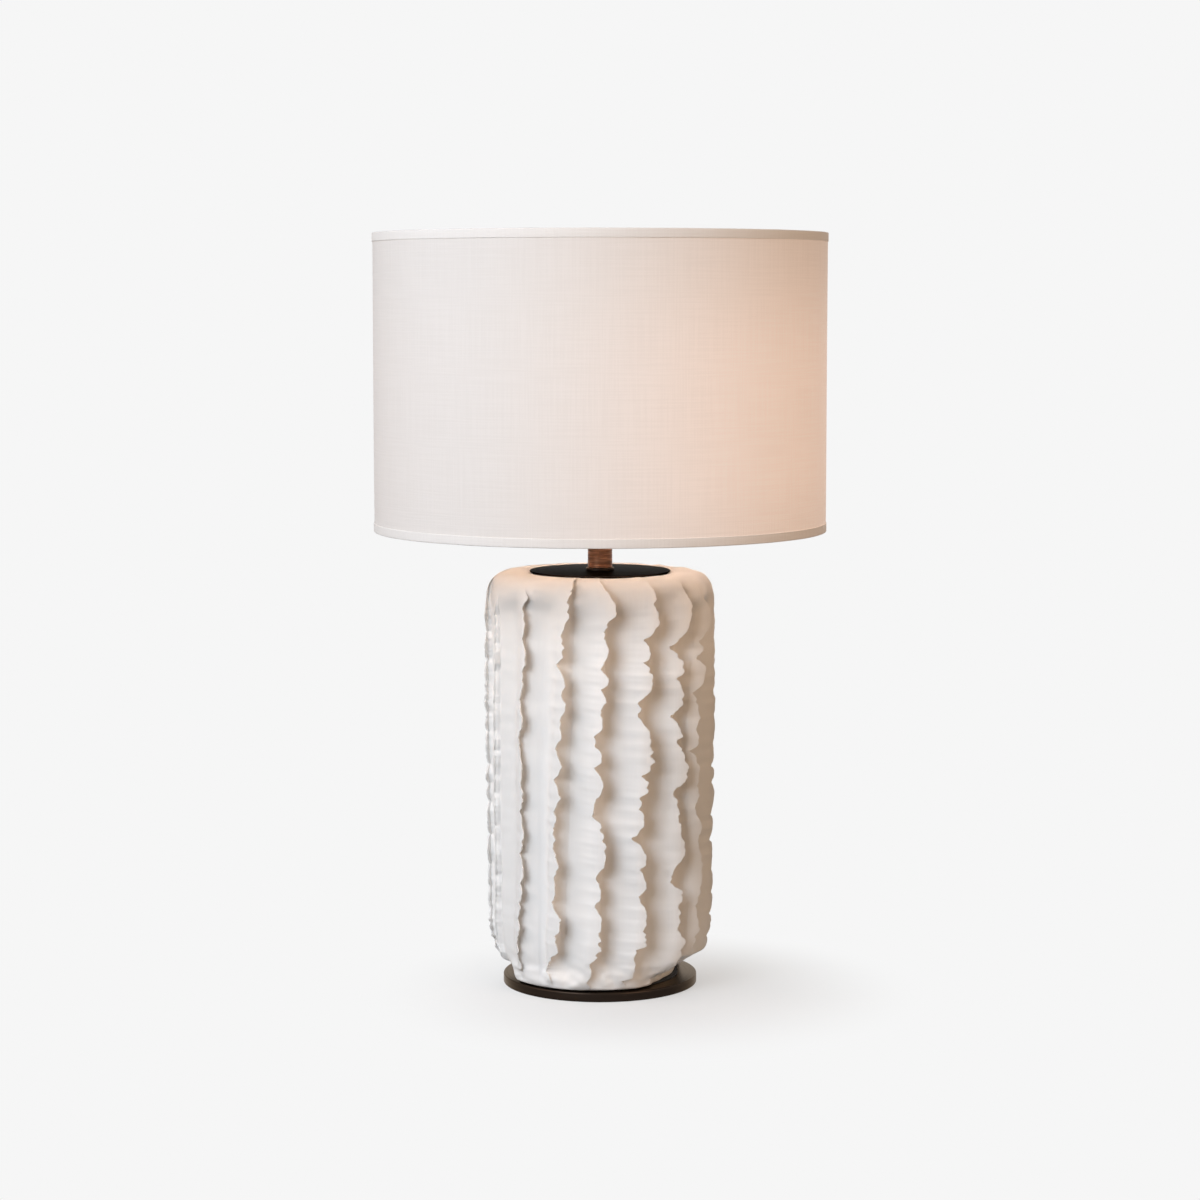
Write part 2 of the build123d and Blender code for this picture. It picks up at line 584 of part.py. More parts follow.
def diffuser_foot():
    """Height at which the diffuser's sphere is as wide as the housing's top."""
    return BULB_CENTRE_Z - math.sqrt(BULB_R**2 - HOUSING_TOP_R**2)


def bulb_housing():
    """Flared body of the bulb, plugged into its cap below and closed above."""
    foot = BULB_Z + BULB_TIP_T + BULB_GLASS_H + BULB_CAP_L
    top = diffuser_foot()
    plug_r = BULB_CAP_R - BULB_CAP_T - FIT_GAP
    plug = Polyline(
        (0, top), (0, foot - HOUSING_PLUG), (plug_r, foot - HOUSING_PLUG), (plug_r, foot),
        (HOUSING_FOOT_R, foot), (HOUSING_FOOT_R, foot + 4),
    )
    flare = ThreePointArc(
        plug @ 1, ((HOUSING_FOOT_R + HOUSING_TOP_R) / 2 - 1, (foot + 4 + top) / 2), (HOUSING_TOP_R, top)
    )
    lid = Line(flare @ 1, plug @ 0)
    return revolve(Plane.XZ * make_face([plug, flare, lid]), Axis.Z)


def bulb_board():
    """Round board that carries the light sources, on top of the housing."""
    return disc(BOARD_R, diffuser_foot(), BOARD_T)


def bulb_diffuser():
    """Hollow frosted dome."""
    foot, top = diffuser_foot(), BULB_CENTRE_Z + BULB_R
    inner_r = BULB_R - DIFFUSER_T
    inner_foot = math.sqrt(inner_r**2 - (BULB_CENTRE_Z - foot) ** 2)
    outer = ThreePointArc((HOUSING_TOP_R, foot), (BULB_R, BULB_CENTRE_Z), (0, top))
    inner = ThreePointArc((0, top - DIFFUSER_T), (inner_r, BULB_CENTRE_Z), (inner_foot, foot))
    axis, rim = Line(outer @ 1, inner @ 0), Line(inner @ 1, outer @ 0)
    return revolve(Plane.XZ * make_face([outer, axis, inner, rim]), Axis.Z)


def pieces():
    """Every piece of the lamp under its node's name."""
    return {
        "base_pad": disc(PAD_R, 0, PAD_T, RECESS_R),
        "base_plate": base_plate(),
        "plate_washer": disc(WASHER_R, RECESS_TOP - WASHER_T, WASHER_T, ROD_HOLE_R),
        "lock_washers": [lock_washer(RECESS_TOP - WASHER_T - LOCK_T), lock_washer(NECK_Z)],
        "rod_nuts": [hex_nut(RECESS_TOP - WASHER_T - LOCK_T - NUT_T), hex_nut(NECK_Z + LOCK_T)],
        "foot_gasket": disc(FOOT_GASKET_R, PLATE_TOP, GASKET_T, FOOT_BORE_R + GASKET_LIP / 2),
        "foot_locator": disc(FOOT_BORE_R - 4 * FIT_GAP, PLATE_TOP, LOCATOR_T, ROD_HOLE_R),
        "lamp_rod": lamp_rod(),
        "ceramic_body": ceramic_body(),
        "cord_grommet": cord_grommet(),
        "crown_bush": crown_bush(),
        "crown_gasket": disc(CROWN_GASKET_R, CROWN_Z, CROWN_GASKET_T, BUSH_FLANGE_R + FIT_GAP),
        "top_cap": rounded_disc(CAP_R, CAP_Z, CAP_T, CAP_EDGE),
        "neck_collar": neck_collar(),
        "neck_tube": disc(NECK_R, NECK_Z, NECK_L, NECK_R - NECK_WALL),
        "socket_cap": socket_cap(),
        "hub_screw": hub_screw(),
        "socket_shell": socket_shell(),
        "socket_liner": socket_liner(),
        "switch_body": switch_body(),
        "terminal_screws": terminal_screws(),
        "screw_shell": screw_shell(),
        "centre_contact": centre_contact(),
        "switch_stem": switch_stem(),
        "switch_knob": switch_knob(),
        "shade_ring": shade_ring(),
        "fitter_ring": fitter_ring(),
        "fitter_arms": fitter_arms(),
        "shade_lower_hoop": hoop(SHADE_Z + HEM_T + LAY_GAP),
        "shade_upper_hoop": hoop(SHADE_TOP - HEM_T - LAY_GAP - HOOP_H),
        "shade_liner": shade_liner(),
        "shade_cover": shade_cover(),
        "shade_lower_hem": lower_hem(),
        "shade_upper_hem": hem(SHADE_TOP, -1),
        "bulb_contact": bulb_contact(),
        "bulb_insulator": bulb_insulator(),
        "bulb_cap": bulb_cap(),
        "bulb_housing": bulb_housing(),
        "bulb_board": bulb_board(),
        "bulb_diffuser": bulb_diffuser(),
    }


os.makedirs("parts", exist_ok=True)
for node, shape in pieces().items():
    solid = Compound(children=shape) if isinstance(shape, list) else shape
    export_step(solid, f"parts/{node}.step")
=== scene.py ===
import math
import random
from collections import namedtuple

import bpy
from bpy.props import FloatProperty, FloatVectorProperty, IntProperty, PointerProperty
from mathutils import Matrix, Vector, noise


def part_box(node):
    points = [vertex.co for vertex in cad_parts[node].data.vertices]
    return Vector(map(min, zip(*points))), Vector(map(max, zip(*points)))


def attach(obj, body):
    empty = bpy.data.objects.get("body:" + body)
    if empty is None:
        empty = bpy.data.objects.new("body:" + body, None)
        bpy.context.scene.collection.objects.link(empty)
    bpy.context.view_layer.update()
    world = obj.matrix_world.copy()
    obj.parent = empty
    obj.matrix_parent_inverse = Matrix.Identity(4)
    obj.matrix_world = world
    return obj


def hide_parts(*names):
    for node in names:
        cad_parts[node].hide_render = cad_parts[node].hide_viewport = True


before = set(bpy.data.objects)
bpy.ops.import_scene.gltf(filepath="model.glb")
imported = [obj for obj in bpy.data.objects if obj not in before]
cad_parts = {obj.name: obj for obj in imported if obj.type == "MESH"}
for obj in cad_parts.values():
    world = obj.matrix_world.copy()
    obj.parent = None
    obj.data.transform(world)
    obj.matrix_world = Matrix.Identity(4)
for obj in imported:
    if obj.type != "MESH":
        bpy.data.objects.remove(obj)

bl_info = {
    "name": "Ruffled Ceramic Table Lamp",
    "version": (1, 0, 0),
    "blender": (4, 5, 0),
    "location": "3D View > Sidebar > Lamp",
    "description": "Dresses the table lamp: carved body, metalwork, linen shade, bulb and studio",
    "category": "Object",
}

MM = 0.001

# Heights of the body's foot and crown, in millimetres over the table
FOOT_Z, CROWN_Z = 9.4, 367.7

# The hollow's outline from the bore of the crown down to that of the foot: radius and height
HOLLOW_OUTLINE = (
    (15.0, CROWN_Z), (15.0, CROWN_Z - 10), (59.5, CROWN_Z - 10), (71.5, CROWN_Z - 17),
    (76.5, CROWN_Z - 32), (76.5, FOOT_Z + 30), (60.0, FOOT_Z + 8), (60.0, FOOT_Z),
)

# The body's outline as pairs of floor and fin: radius and height of the scooped floor, and
# radius and height of the fins' edges, from the foot up over the shoulder to the cap
BODY_OUTLINE = (
    ((79.0, 9.4), (79.4, 9.4)), ((80.8, 10.2), (81.6, 10.6)), ((81.8, 12.5), (84.4, 14.0)),
    ((82.6, 22.0), (90.0, 22.0)), ((82.8, 38.0), (97.0, 38.0)), ((82.6, 62.0), (100.4, 62.0)),
    ((82.6, 120.0), (101.4, 120.0)), ((82.6, 215.0), (103.0, 215.0)), ((82.8, 300.0), (103.0, 300.0)),
    ((85.4, 336.0), (103.0, 340.0)), ((89.5, 350.0), (101.2, 354.0)), ((88.0, 361.0), (96.0, 364.0)),
    ((80.5, 367.6), (86.5, 369.4)), ((70.5, 369.3), (73.0, 370.2)), ((63.4, 368.4), (64.6, 369.2)),
    ((60.5, 367.7), (60.8, 367.8)),
)

# Torn edges of the front fins, upwards: height, and sideways place from the fin's own line, in
# millimetres. A place further left than its neighbours is a notch, one further right a lobe
FRONT_EDGES = {
    -2: ((20, -10), (42, -8), (50, -7), (61, -1), (71, -5.5), (81, -1), (84, -3.5), (93, 3), (102, -1),
        (114, 3.5), (128, -3), (149, 3.5), (166, -3.5), (178, 3.5), (192, -0.5), (204, 4), (219, -1.5),
        (231, -1), (244, 5.5), (266, -1), (278, 5), (289, 2), (304, 9), (318, 1.5), (326, 7), (345, 4),
        (354, 9), (365, 0.5)),
    -1: ((12, -9), (18, -13.5), (27, -15.5), (41, -9.5), (43, -4.5), (50, -0.5), (59, -2.5), (70, 1.5),
        (89, -7), (99, -2), (111, -5), (123, 0.5), (137, -6.5), (143, -3.5), (154, -5.5), (165, -3),
        (172, -3), (181, 3), (197, -3.5), (209, 3.5), (224, -3), (237, 3.5), (250, 1), (259, 7.5),
        (272, 3.5), (283, 7.5), (296, -2), (312, 5), (322, 2.5), (345, 9.5), (355, 8), (364, 11)),
    0: ((10, -13), (17, -13.5), (28, -8.5), (36, -10.5), (54, -2.5), (63, -3.5), (74, -0.5), (88, -6),
        (99, -0.5), (113, -5.5), (130, 3), (162, -3), (166, -9), (174, -6), (179, -5.5), (192, 1),
        (209, -6), (218, 0), (229, -6), (235, -6), (244, 1), (259, -1.5), (268, 3), (277, -1), (283, 5.5),
        (295, -1.5), (311, 5.5), (323, 2), (333, 1.5), (344, 11.5), (360, 5), (370, -2)),
    1: ((11, -12.5), (19, -17), (22, -8.5), (33, -7), (39, -8.5), (48, -6), (50, -1), (56, 0.5),
        (65, -2.5), (75, 0.5), (94, -6), (103, -0.5), (119, -5.5), (130, -0.5), (146, -12), (161, -2.5),
        (172, -6), (175, -5), (181, -6.5), (191, -0.5), (201, -4), (212, 3), (224, 1), (232, 2.5),
        (252, -7), (258, -5), (264, -6.5), (281, 4), (299, -1.5), (304, 3.5), (319, -1.5), (322, 3),
        (334, 9.5), (350, 6), (354, 8.5), (369, 6.5), (373, 9.5)),
    2: ((15, -17), (18, -10), (24, -3), (36, 0), (43, -2), (52, 1), (60, -6), (70, -2.5), (80, -5.5),
        (94, -1), (103, -9), (109, -9), (130, 0.5), (150, -3.5), (164, -4.5), (184, -9.5), (199, 1),
        (229, -7.5), (236, -3.5), (250, -11), (265, -3), (283, -7.5), (290, -2), (311, -10.5), (332, 4.5),
        (345, 6.5), (361, 3)),
    3: ((29, -14.5), (43, -16), (64, -14), (78, -16.5), (86, -13), (106, -10), (132, -14), (146, -13.5),
        (166, -20), (174, -16.5), (189, -18.5), (195, -17), (217, -24.5), (226, -18), (237, -20),
        (246, -16.5), (268, -20.5), (287, -9.5), (298, -16.5), (307, -10.5), (313, -13.5), (325, -3.5),
        (333, -1.5), (353, -10.5)),
}

# Torn edges of the other fins are drawn: heights of the first notch and of the end, lean at the foot
# and at the crown, depth of a notch, and height over which a lobe rises and falls
FIRST_NOTCH, EDGE_END, FOOT_LEAN, CROWN_LEAN = (16, 28), 362, (-7, -3), 4.0
NOTCH_DEPTH, LOBE_RISE, LOBE_FALL = (0.5, 3.5), (6, 19), (5, 15)

# Seeds of the random draws
EDGE_SEED, STRAY_SEED, CREASE_SEED, ENDS_SEED, LINES_SEED = 70, 500, 700, 900, 12

# Crease at the root of each front fin: sideways place at the foot and at the shoulder, how sharp it
# is, and its share of the full depth. The rest have the last one, and their own place at the foot
FRONT_CREASES = {
    -4: (4.0, 6.0, 0.0, 0.4), -3: (4.0, 8.0, 0.0, 0.25), -2: (10.0, 11.0, 0.3, 0.6),
    -1: (-2.0, 10.0, 1.0, 0.9), 0: (-2.0, 3.0, 0.5, 1.0), 1: (-3.0, 4.0, 0.1, 1.0),
    2: (-2.0, 3.0, 0.0, 1.0), 3: (-10.0, -5.0, 0.0, 0.8),
}
OTHER_CREASE = (5.0, 0.2, 0.8)

# Fins whose sheet stands steeply at its edge, and by what share
STEEP_EDGES = {1: 0.6, 2: 1.0, 3: 0.8}

# Heights at which the front fins begin, and from which the scoops fill up towards the crown
FRONT_ENDS = {
    -3: (20, 336), -2: (17, 344), -1: (11, 362), 0: (9, 366), 1: (12, 376), 2: (15, 352), 3: (27, 336),
}

# Degrees from the front to the nearest fin, the most that a fin out of sight strays from its line,
# and the radius at which sideways places are measured
FIN_PHASE, FIN_STRAY, SIDEWAYS_R = 1.5, 1.4, 95.0

# Heights over which a fin rises from the foot, and over which a scoop fills up to its last share
FIN_RISE, FILL_RISE, FILL_SHARE = 7.0, 18.0, 0.88

# Steps up and down an edge over which its mean line is taken
MEAN_STEPS = range(-36, 37, 12)

# Fine raggedness of an edge in two sizes: how wide it is, how fast it changes from fin to fin and
# upwards, where it starts, and how much is taken off again. It is wider near the foot
RAGGED = ((3.0, 9.1, 0.11, 0.0, 0.9), (1.6, 5.3, 0.34, 4.0, 0.4))
RAGGED_FOOT_TOP, RAGGED_FOOT = 60, 1.5

# Relative height to which a scoop fills up at the shoulder, and where it isn't deep
FILLED = 0.97

# A fin's sheet: where its lip begins, left of the edge's mean line, its relative height there, how
# much it still rises beyond and over what length, and the lip's points as shares of its width
LIP_REACH, LIP_HEIGHT, LIP_GAIN, LIP_LENGTH = 8.0, 0.74, 0.47, 11.5
LIP = (0.0, 0.2, 0.45, 0.7, 0.88, 1.0)

# The sheet's rear face, from the edge down: the point of the lip that it lies behind, the sheet's
# thickness there, and how much lower it is
LIP_BACK = ((4, 0.7, 0.075), (2, 1.2, 0.10), (0, 1.7, 0.11))

# Wall behind a fin, from under the lip to the crease: share of the way, and relative height at a
# soft and at a sharp crease
WALL = ((0.0, 0.48, 0.48), (0.12, 0.38, 0.40), (0.32, 0.26, 0.30), (0.6, 0.16, 0.17), (1.0, 0.10, 0.01))

# Shares of the way from a crease to the next fin's lip
SCOOP = (0.05, 0.13, 0.22, 0.32, 0.42, 0.52, 0.62, 0.71, 0.79, 0.86, 0.92, 0.965)

# Where the foot strays from its circle: degrees from the front, and how far out, in millimetres
FOOT_SHIFTS = (
    (-125, 0.0), (-100, -10.0), (-68, -10.0), (-59, 4.0), (-20, 3.8), (0, 1.2), (22, 0.5), (32, -3.0),
    (44, -11.0), (60, -15.0), (95, -15.0), (120, 0.0),
)

# Unevenness of the surface, in millimetres: slow swells, small waves between foot and shoulder, how
# much stronger they are at the left, and lumps round the foot
SWELL, WAVE, LEFT_WAVE, LUMP = 0.5, 0.14, 0.28, 1.5

# Seat of the cable outlet at the back: degrees from the front, height, distance from the axis, radii
# of its flange and its hole, over what width the clay falls back to its shape, and the hole's depth
OUTLET_TURN, OUTLET_Z, OUTLET_SEAT = 171.0, 37.0, 83.9
OUTLET_FLANGE_R, OUTLET_HOLE_R, OUTLET_BLEND, OUTLET_DEPTH = 9.2, 4.8, 4.0, 7.0

# The turned metalwork, in millimetres. The plate has a recess for the tube's nut, and its rim
# reaches down round the pad
BORE_R = 5.2
PLATE_R, PLATE_RIM_Z, PLATE_TOP = 86.6, 0.3, 8.4
RECESS_R, RECESS_TOP, PAD_R, PAD_TOP = 19.0, 6.4, 80.4, 1.0
CAP_R, CAP_Z, CAP_TOP = 62.4, 369.5, 370.7
COLLAR_R, COLLAR_TOP = 12.4, 373.3
NECK_R, NECK_FOOT_R, NECK_BORE_R, NECK_TOP = 10.9, 10.7, 9.6, 418.0
LINES_Z, LINES_LENGTH, LINE_H = 374.2, 43.0, 0.35

# The drum, in millimetres: outer radius and thickness of the linen, and of a hem the faces of its
# outer and inner leg from outside inwards, the height of its legs, how thick it is over the rim, and
# how far it stands past the linen
COVER_R, COVER_T = 199.45, 0.5
HEM_FACES, HEM_H, HEM_T, HEM_PAST = (200.0, 199.42, 196.2, 195.7), 7.7, 0.6, 0.55

# The bulb's light through the linen, painted on as glow, in metres: the height of its middle, how far
# from it the painted glow begins and ends to fade, between which places it grows from left to right, and its
# share at the left
GLOW_Z, GLOW_FADE, GLOW_SIDES, GLOW_LEFT = 0.505, (0.03, 0.20), (-0.11, 0.21), 0.167

# Radius of the drum that the weave runs round, in metres
WEAVE_R = 0.2

# Fine-grained finishes that no setting changes: colour, scale of the grain, roughness, and strength
# and distance of its bump
GRAINED = {
    "Gasket Foam": ((0.012, 0.012, 0.012), 1600.0, 0.9, 0.4, 0.0003),
    "Black Moulding": ((0.028, 0.027, 0.026), 1400.0, 0.42, 0.12, 0.0001),
    "Insulating Fibre": ((0.30, 0.18, 0.09), 900.0, 0.8, 0.3, 0.0002),
    "White Powder Coat": ((0.78, 0.77, 0.74), 1500.0, 0.5, 0.15, 0.0001),
    "Black Glass": ((0.012, 0.012, 0.016), 300.0, 0.12, 0.02, 0.0001),
    "White Moulding": ((0.78, 0.77, 0.75), 900.0, 0.4, 0.05, 0.0001),
}

# The studio's square lamps: place in metres and colour. All point at one place
LAMP_SIZE, LAMP_AIM = 1.6, (0.0, 0.0, 0.3)
LAMPS = {
    "Key": ((-1.44, -2.05, 1.31), (0.87, 0.925, 1.0)),
    "Side": ((-2.42, -0.65, 1.31), (1.0, 0.83, 0.72)),
    "High": ((-1.27, -1.07, 2.43), (0.58, 0.74, 1.0)),
    "Fill": ((1.77, -1.77, 1.31), (1.0, 0.67, 0.42)),
    "Back": ((0.5, 2.5, 0.75), (1.0, 0.97, 0.93)),
}
CAMERA_PLACE, CAMERA_PITCH = (0.0, -2.5904, 0.6088), 5.84

# The floor, in metres and levels: half its width, where its shadowed middle lies and over which
# distances it fades out, its colour, and its own light, first for other rays and then as it is seen
# Round its middle, set towards the front right, the floor is a little darker than where it has faded out:
# painted shade about the cast shadow
FLOOR_SIZE, FLOOR_MIDDLE, FLOOR_FADE = 4.0, (0.04, -0.04, 0.0), (0.06, 0.26)
FLOOR_COLOUR, FLOOR_LIGHT = 0.36, (0.02, 0.46)

# Light of the faded floor for other rays, and the colour of the light from all round
FAR_LIGHT, ROOM_TINT = 0.03, (0.84, 0.98, 1.0)

# A fin as it is planned: its number, its line in degrees, its torn edge, sideways places of its
# crease at the foot and the shoulder, the crease's sharpness and depth, how steeply its sheet stands
# at the edge, and where it begins and its scoop fills up
Fin = namedtuple("Fin", "number line points crease_low crease_high sharp depth steep begins fills")

# The same fin at one height: its line in radians, sideways places of its edge, of the edge's mean
# line and of its crease, its relative height, and how far its scoop is filled up
Cut = namedtuple("Cut", "line edge middle crease tall sharp full depth steep")


class CeramicSettings(bpy.types.PropertyGroup):
    fins: IntProperty(name="Fins", description="Number of ruffled fins", default=16, min=8, max=24)
    ragged: FloatProperty(
        name="Ragged", description="How far the torn edge strays from its curve", default=0.0014,
        unit="LENGTH",
    )
    row: FloatProperty(name="Row", description="Height of one row of faces", default=0.0012, unit="LENGTH")
    colour: FloatVectorProperty(
        name="Colour", description="Colour of the unglazed clay", subtype="COLOR",
        default=(0.80, 0.785, 0.765), min=0, max=1,
    )


class MetalSettings(bpy.types.PropertyGroup):
    bronze: FloatVectorProperty(
        name="Bronze", description="Colour of the plate and the cap", subtype="COLOR",
        default=(0.030, 0.021, 0.016), min=0, max=1,
    )
    copper: FloatVectorProperty(
        name="Copper", description="Colour of the neck", subtype="COLOR", default=(0.27, 0.12, 0.064),
        min=0, max=1,
    )
    brass: FloatVectorProperty(
        name="Brass", description="Colour of the bulb holder", subtype="COLOR",
        default=(0.62, 0.46, 0.22), min=0, max=1,
    )
    lines: IntProperty(name="Turned Lines", description="Fine lines on the neck", default=34, min=0)


class ShadeSettings(bpy.types.PropertyGroup):
    thread: FloatProperty(
        name="Thread", description="Distance between the linen's threads", default=0.00075,
        unit="LENGTH",
    )
    linen: FloatVectorProperty(
        name="Linen", description="Colour of the linen", subtype="COLOR", default=(0.65, 0.625, 0.595),
        min=0, max=1,
    )
    # The glow on the linen is painted light: its colour and strength stand in for the bulb's light through it
    glow: FloatVectorProperty(
        name="Glow", description="Colour of the bulb's light through the linen", subtype="COLOR",
        default=(1.0, 0.69, 0.555), min=0, max=1,
    )
    glow_strength: FloatProperty(
        name="Glow Strength", description="How much light the linen lets through", default=0.468, min=0
    )


class BulbSettings(bpy.types.PropertyGroup):
    light: FloatVectorProperty(
        name="Light", description="Colour of the lit bulb", subtype="COLOR", default=(1.0, 0.69, 0.515),
        min=0, max=1,
    )
    strength: FloatProperty(name="Strength", description="Brightness of the lit bulb", default=40.0, min=0)


class StudioSettings(bpy.types.PropertyGroup):
    background: FloatProperty(
        name="Background", description="Level of the pale background", default=0.9216, min=0
    )
    key: FloatProperty(name="Key", description="Power of the light at the front left", default=61.0, min=0)
    side: FloatProperty(name="Side", description="Power of the light at the left", default=24.0, min=0)
    high: FloatProperty(name="High", description="Power of the light high at the left", default=12.0, min=0)
    fill: FloatProperty(name="Fill", description="Power of the light at the front right", default=29.0, min=0)
    back: FloatProperty(name="Back", description="Power of the light behind the lamp", default=42.0, min=0)
    world: FloatProperty(name="World", description="Level of the light all round", default=0.10, min=0)
    lens: FloatProperty(name="Lens", description="Focal length in millimetres", default=87.9, min=10)


def shader_node(tree, kind, sockets=(), **values):
    """Adds a node; sockets are (name or index, a value or an output to link)."""
    node = tree.nodes.new(kind)
    for key, value in values.items():
        setattr(node, key, value)
    for name, value in sockets:
        if isinstance(value, bpy.types.NodeSocket):
            tree.links.new(value, node.inputs[name])
        else:
            node.inputs[name].default_value = value
    return node


def maths(tree, operation, a, b=0.0):
    """The output of a Math node."""
    return shader_node(tree, "ShaderNodeMath", [(0, a), (1, b)], operation=operation).outputs[0]


def mixed(tree, factor, a, b):
    """The output of a colour Mix node; plain colours are given as three numbers."""
    node = shader_node(tree, "ShaderNodeMix", data_type="RGBA")
    for index, value in ((0, factor), (6, a), (7, b)):
        if isinstance(value, bpy.types.NodeSocket):
            tree.links.new(value, node.inputs[index])
        else:
            node.inputs[index].default_value = value if index == 0 else (*value, 1.0)
    return node.outputs[2]


def spread(tree, value, low, high, to_low=0.0, to_high=1.0):
    """The output of a smooth Map Range node."""
    return shader_node(
        tree, "ShaderNodeMapRange",
        [("Value", value), ("From Min", low), ("From Max", high), ("To Min", to_low), ("To Max", to_high)],
        interpolation_type="SMOOTHSTEP",
    ).outputs["Result"]


def noisy(tree, place, scale, detail):
    """The mask of a Noise Texture node."""
    sockets = [("Vector", place), ("Scale", scale), ("Detail", detail)]
    return shader_node(tree, "ShaderNodeTexNoise", sockets).outputs["Fac"]


def combined(tree, x, y, z=0.0):
    """A vector from its parts."""
    return shader_node(tree, "ShaderNodeCombineXYZ", [("X", x), ("Y", y), ("Z", z)]).outputs[0]


def object_place(tree):
    """The three coordinates of a point in its object, in metres."""
    coordinates = tree.nodes.new("ShaderNodeTexCoord").outputs["Object"]
    return shader_node(tree, "ShaderNodeSeparateXYZ", [(0, coordinates)]).outputs


def around_axis(tree):
    """Distance from the lamp's axis, angle round it, and height."""
    x, y, z = object_place(tree)
    square = maths(tree, "ADD", maths(tree, "POWER", x, 2), maths(tree, "POWER", y, 2))
    return maths(tree, "SQRT", square), maths(tree, "ARCTAN2", y, x), z


def effect_group(name, inputs, outputs):
    """A shader node group with float sockets; gives its tree and its sockets to link from and to."""
    tree = bpy.data.node_groups.new(name, "ShaderNodeTree")
    for label, default in inputs.items():
        socket = tree.interface.new_socket(label, in_out="INPUT", socket_type="NodeSocketFloat")
        socket.default_value = default
    for label in outputs:
        tree.interface.new_socket(label, in_out="OUTPUT", socket_type="NodeSocketFloat")
    return tree, tree.nodes.new("NodeGroupInput").outputs, tree.nodes.new("NodeGroupOutput").inputs


def grain_group():
    """Fine grain: the height of its tooth, and soft mottling. Stretch below 1 draws it out upwards."""
    tree, given, result = effect_group("Fine Grain", {"Scale": 900.0, "Stretch": 1.0}, ("Height", "Mottle"))
    coordinates = tree.nodes.new("ShaderNodeTexCoord").outputs["Object"]
    squeeze = combined(tree, 1.0, 1.0, given["Stretch"])
    sockets = [(0, coordinates), (1, squeeze)]
    place = shader_node(tree, "ShaderNodeVectorMath", sockets, operation="MULTIPLY").outputs[0]
    patches = noisy(tree, place, maths(tree, "MULTIPLY", given["Scale"], 0.03), 4.0)
    tree.links.new(noisy(tree, place, given["Scale"], 3.0), result["Height"])
    tree.links.new(spread(tree, patches, 0.35, 0.65), result["Mottle"])
    return tree


def turned_group():
    """Lines left by turning: rings about the lamp's axis by radius and height."""
    tree, given, result = effect_group("Turned Lines", {"Pitch": 0.0006}, ("Height", "Streak"))
    radius, turn, height = around_axis(tree)
    along = maths(tree, "DIVIDE", maths(tree, "ADD", radius, height), given["Pitch"])
    lines = noisy(tree, combined(tree, along, maths(tree, "MULTIPLY", turn, 0.6)), 1.0, 2.0)
    tree.links.new(lines, result["Height"])
    tree.links.new(spread(tree, lines, 0.35, 0.65), result["Streak"])
    return tree


def weave_group():
    """Plain linen weave round the lamp's axis, with thick and thin threads both ways."""
    tree, given, result = effect_group("Linen Weave", {"Thread": 0.0008, "Slub": 0.5}, ("Height", "Threads"))
    radius, turn, height = around_axis(tree)
    round_way = maths(tree, "DIVIDE", maths(tree, "MULTIPLY", turn, WEAVE_R), given["Thread"])
    up_way = maths(tree, "DIVIDE", maths(tree, "ADD", height, radius), given["Thread"])
    warp, weft = (maths(tree, "SINE", maths(tree, "MULTIPLY", way, math.pi)) for way in (round_way, up_way))
    check = maths(tree, "MULTIPLY", warp, weft)

    def thick_threads(across, along):
        """A mask that differs from thread to thread, and changes slowly along each."""
        where = combined(tree, maths(tree, "MULTIPLY", across, 0.55), maths(tree, "MULTIPLY", along, 0.012))
        return noisy(tree, where, 1.0, 1.5)

    slubs = maths(tree, "ADD", thick_threads(round_way, up_way), thick_threads(up_way, round_way))
    slubs = spread(tree, slubs, 0.7, 1.3, -1.0, 1.0)
    thickness = maths(tree, "MULTIPLY", slubs, given["Slub"])
    tree.links.new(maths(tree, "ADD", maths(tree, "MULTIPLY", check, 0.5), thickness), result["Height"])
    tree.links.new(maths(tree, "ADD", maths(tree, "MULTIPLY", slubs, 0.42), 0.5), result["Threads"])
    return tree


def effect(name):
    """The node tree of a shared effect, built the first time it is asked for."""
    builders = {"Fine Grain": grain_group, "Turned Lines": turned_group, "Linen Weave": weave_group}
    return bpy.data.node_groups.get(name) or builders[name]()


def tinted(colour, shares):
    """A colour with each part times its share."""
    return tuple(c * share for c, share in zip(colour, shares))


def finish_of(name, colour, effect_name, roughness, bump, distance=0.0001, tint=None, shares=(), **plain):
    """A material whose colour, roughness and bump vary with a shared effect.

    tint is the colour that the effect's mask leans to, shares are the effect's own values, and plain
    ones are set on the shader."""
    if name in bpy.data.materials:
        return bpy.data.materials[name]
    material = bpy.data.materials.new(name)
    material.use_nodes = True
    tree = material.node_tree
    shader = tree.nodes["Principled BSDF"]
    for socket, value in plain.items():
        shader.inputs[socket.replace("_", " ")].default_value = value
    pattern = shader_node(tree, "ShaderNodeGroup", shares, node_tree=effect(effect_name))
    height, mask = pattern.outputs
    tint = tint or tinted(colour, (0.82, 0.82, 0.82))
    tree.links.new(mixed(tree, mask, tint, colour), shader.inputs["Base Color"])
    varied = spread(tree, mask, 0.0, 1.0, roughness * 1.08, roughness * 0.92)
    tree.links.new(varied, shader.inputs["Roughness"])
    sockets = [("Height", height), ("Strength", bump), ("Distance", distance)]
    tree.links.new(shader_node(tree, "ShaderNodeBump", sockets).outputs[0], shader.inputs["Normal"])
    return material


def bisque():
    """Matt white clay: fine upright tool marks and faint warm mottling."""
    colour = tuple(bpy.context.scene.lamp_ceramic.colour)
    return finish_of(
        "Bisque", colour, "Fine Grain", roughness=0.82, bump=0.35, distance=0.0005,
        tint=tinted(colour, (0.975, 0.965, 0.95)), shares=[("Scale", 300.0), ("Stretch", 0.05)],
        Specular_IOR_Level=0.25,
    )


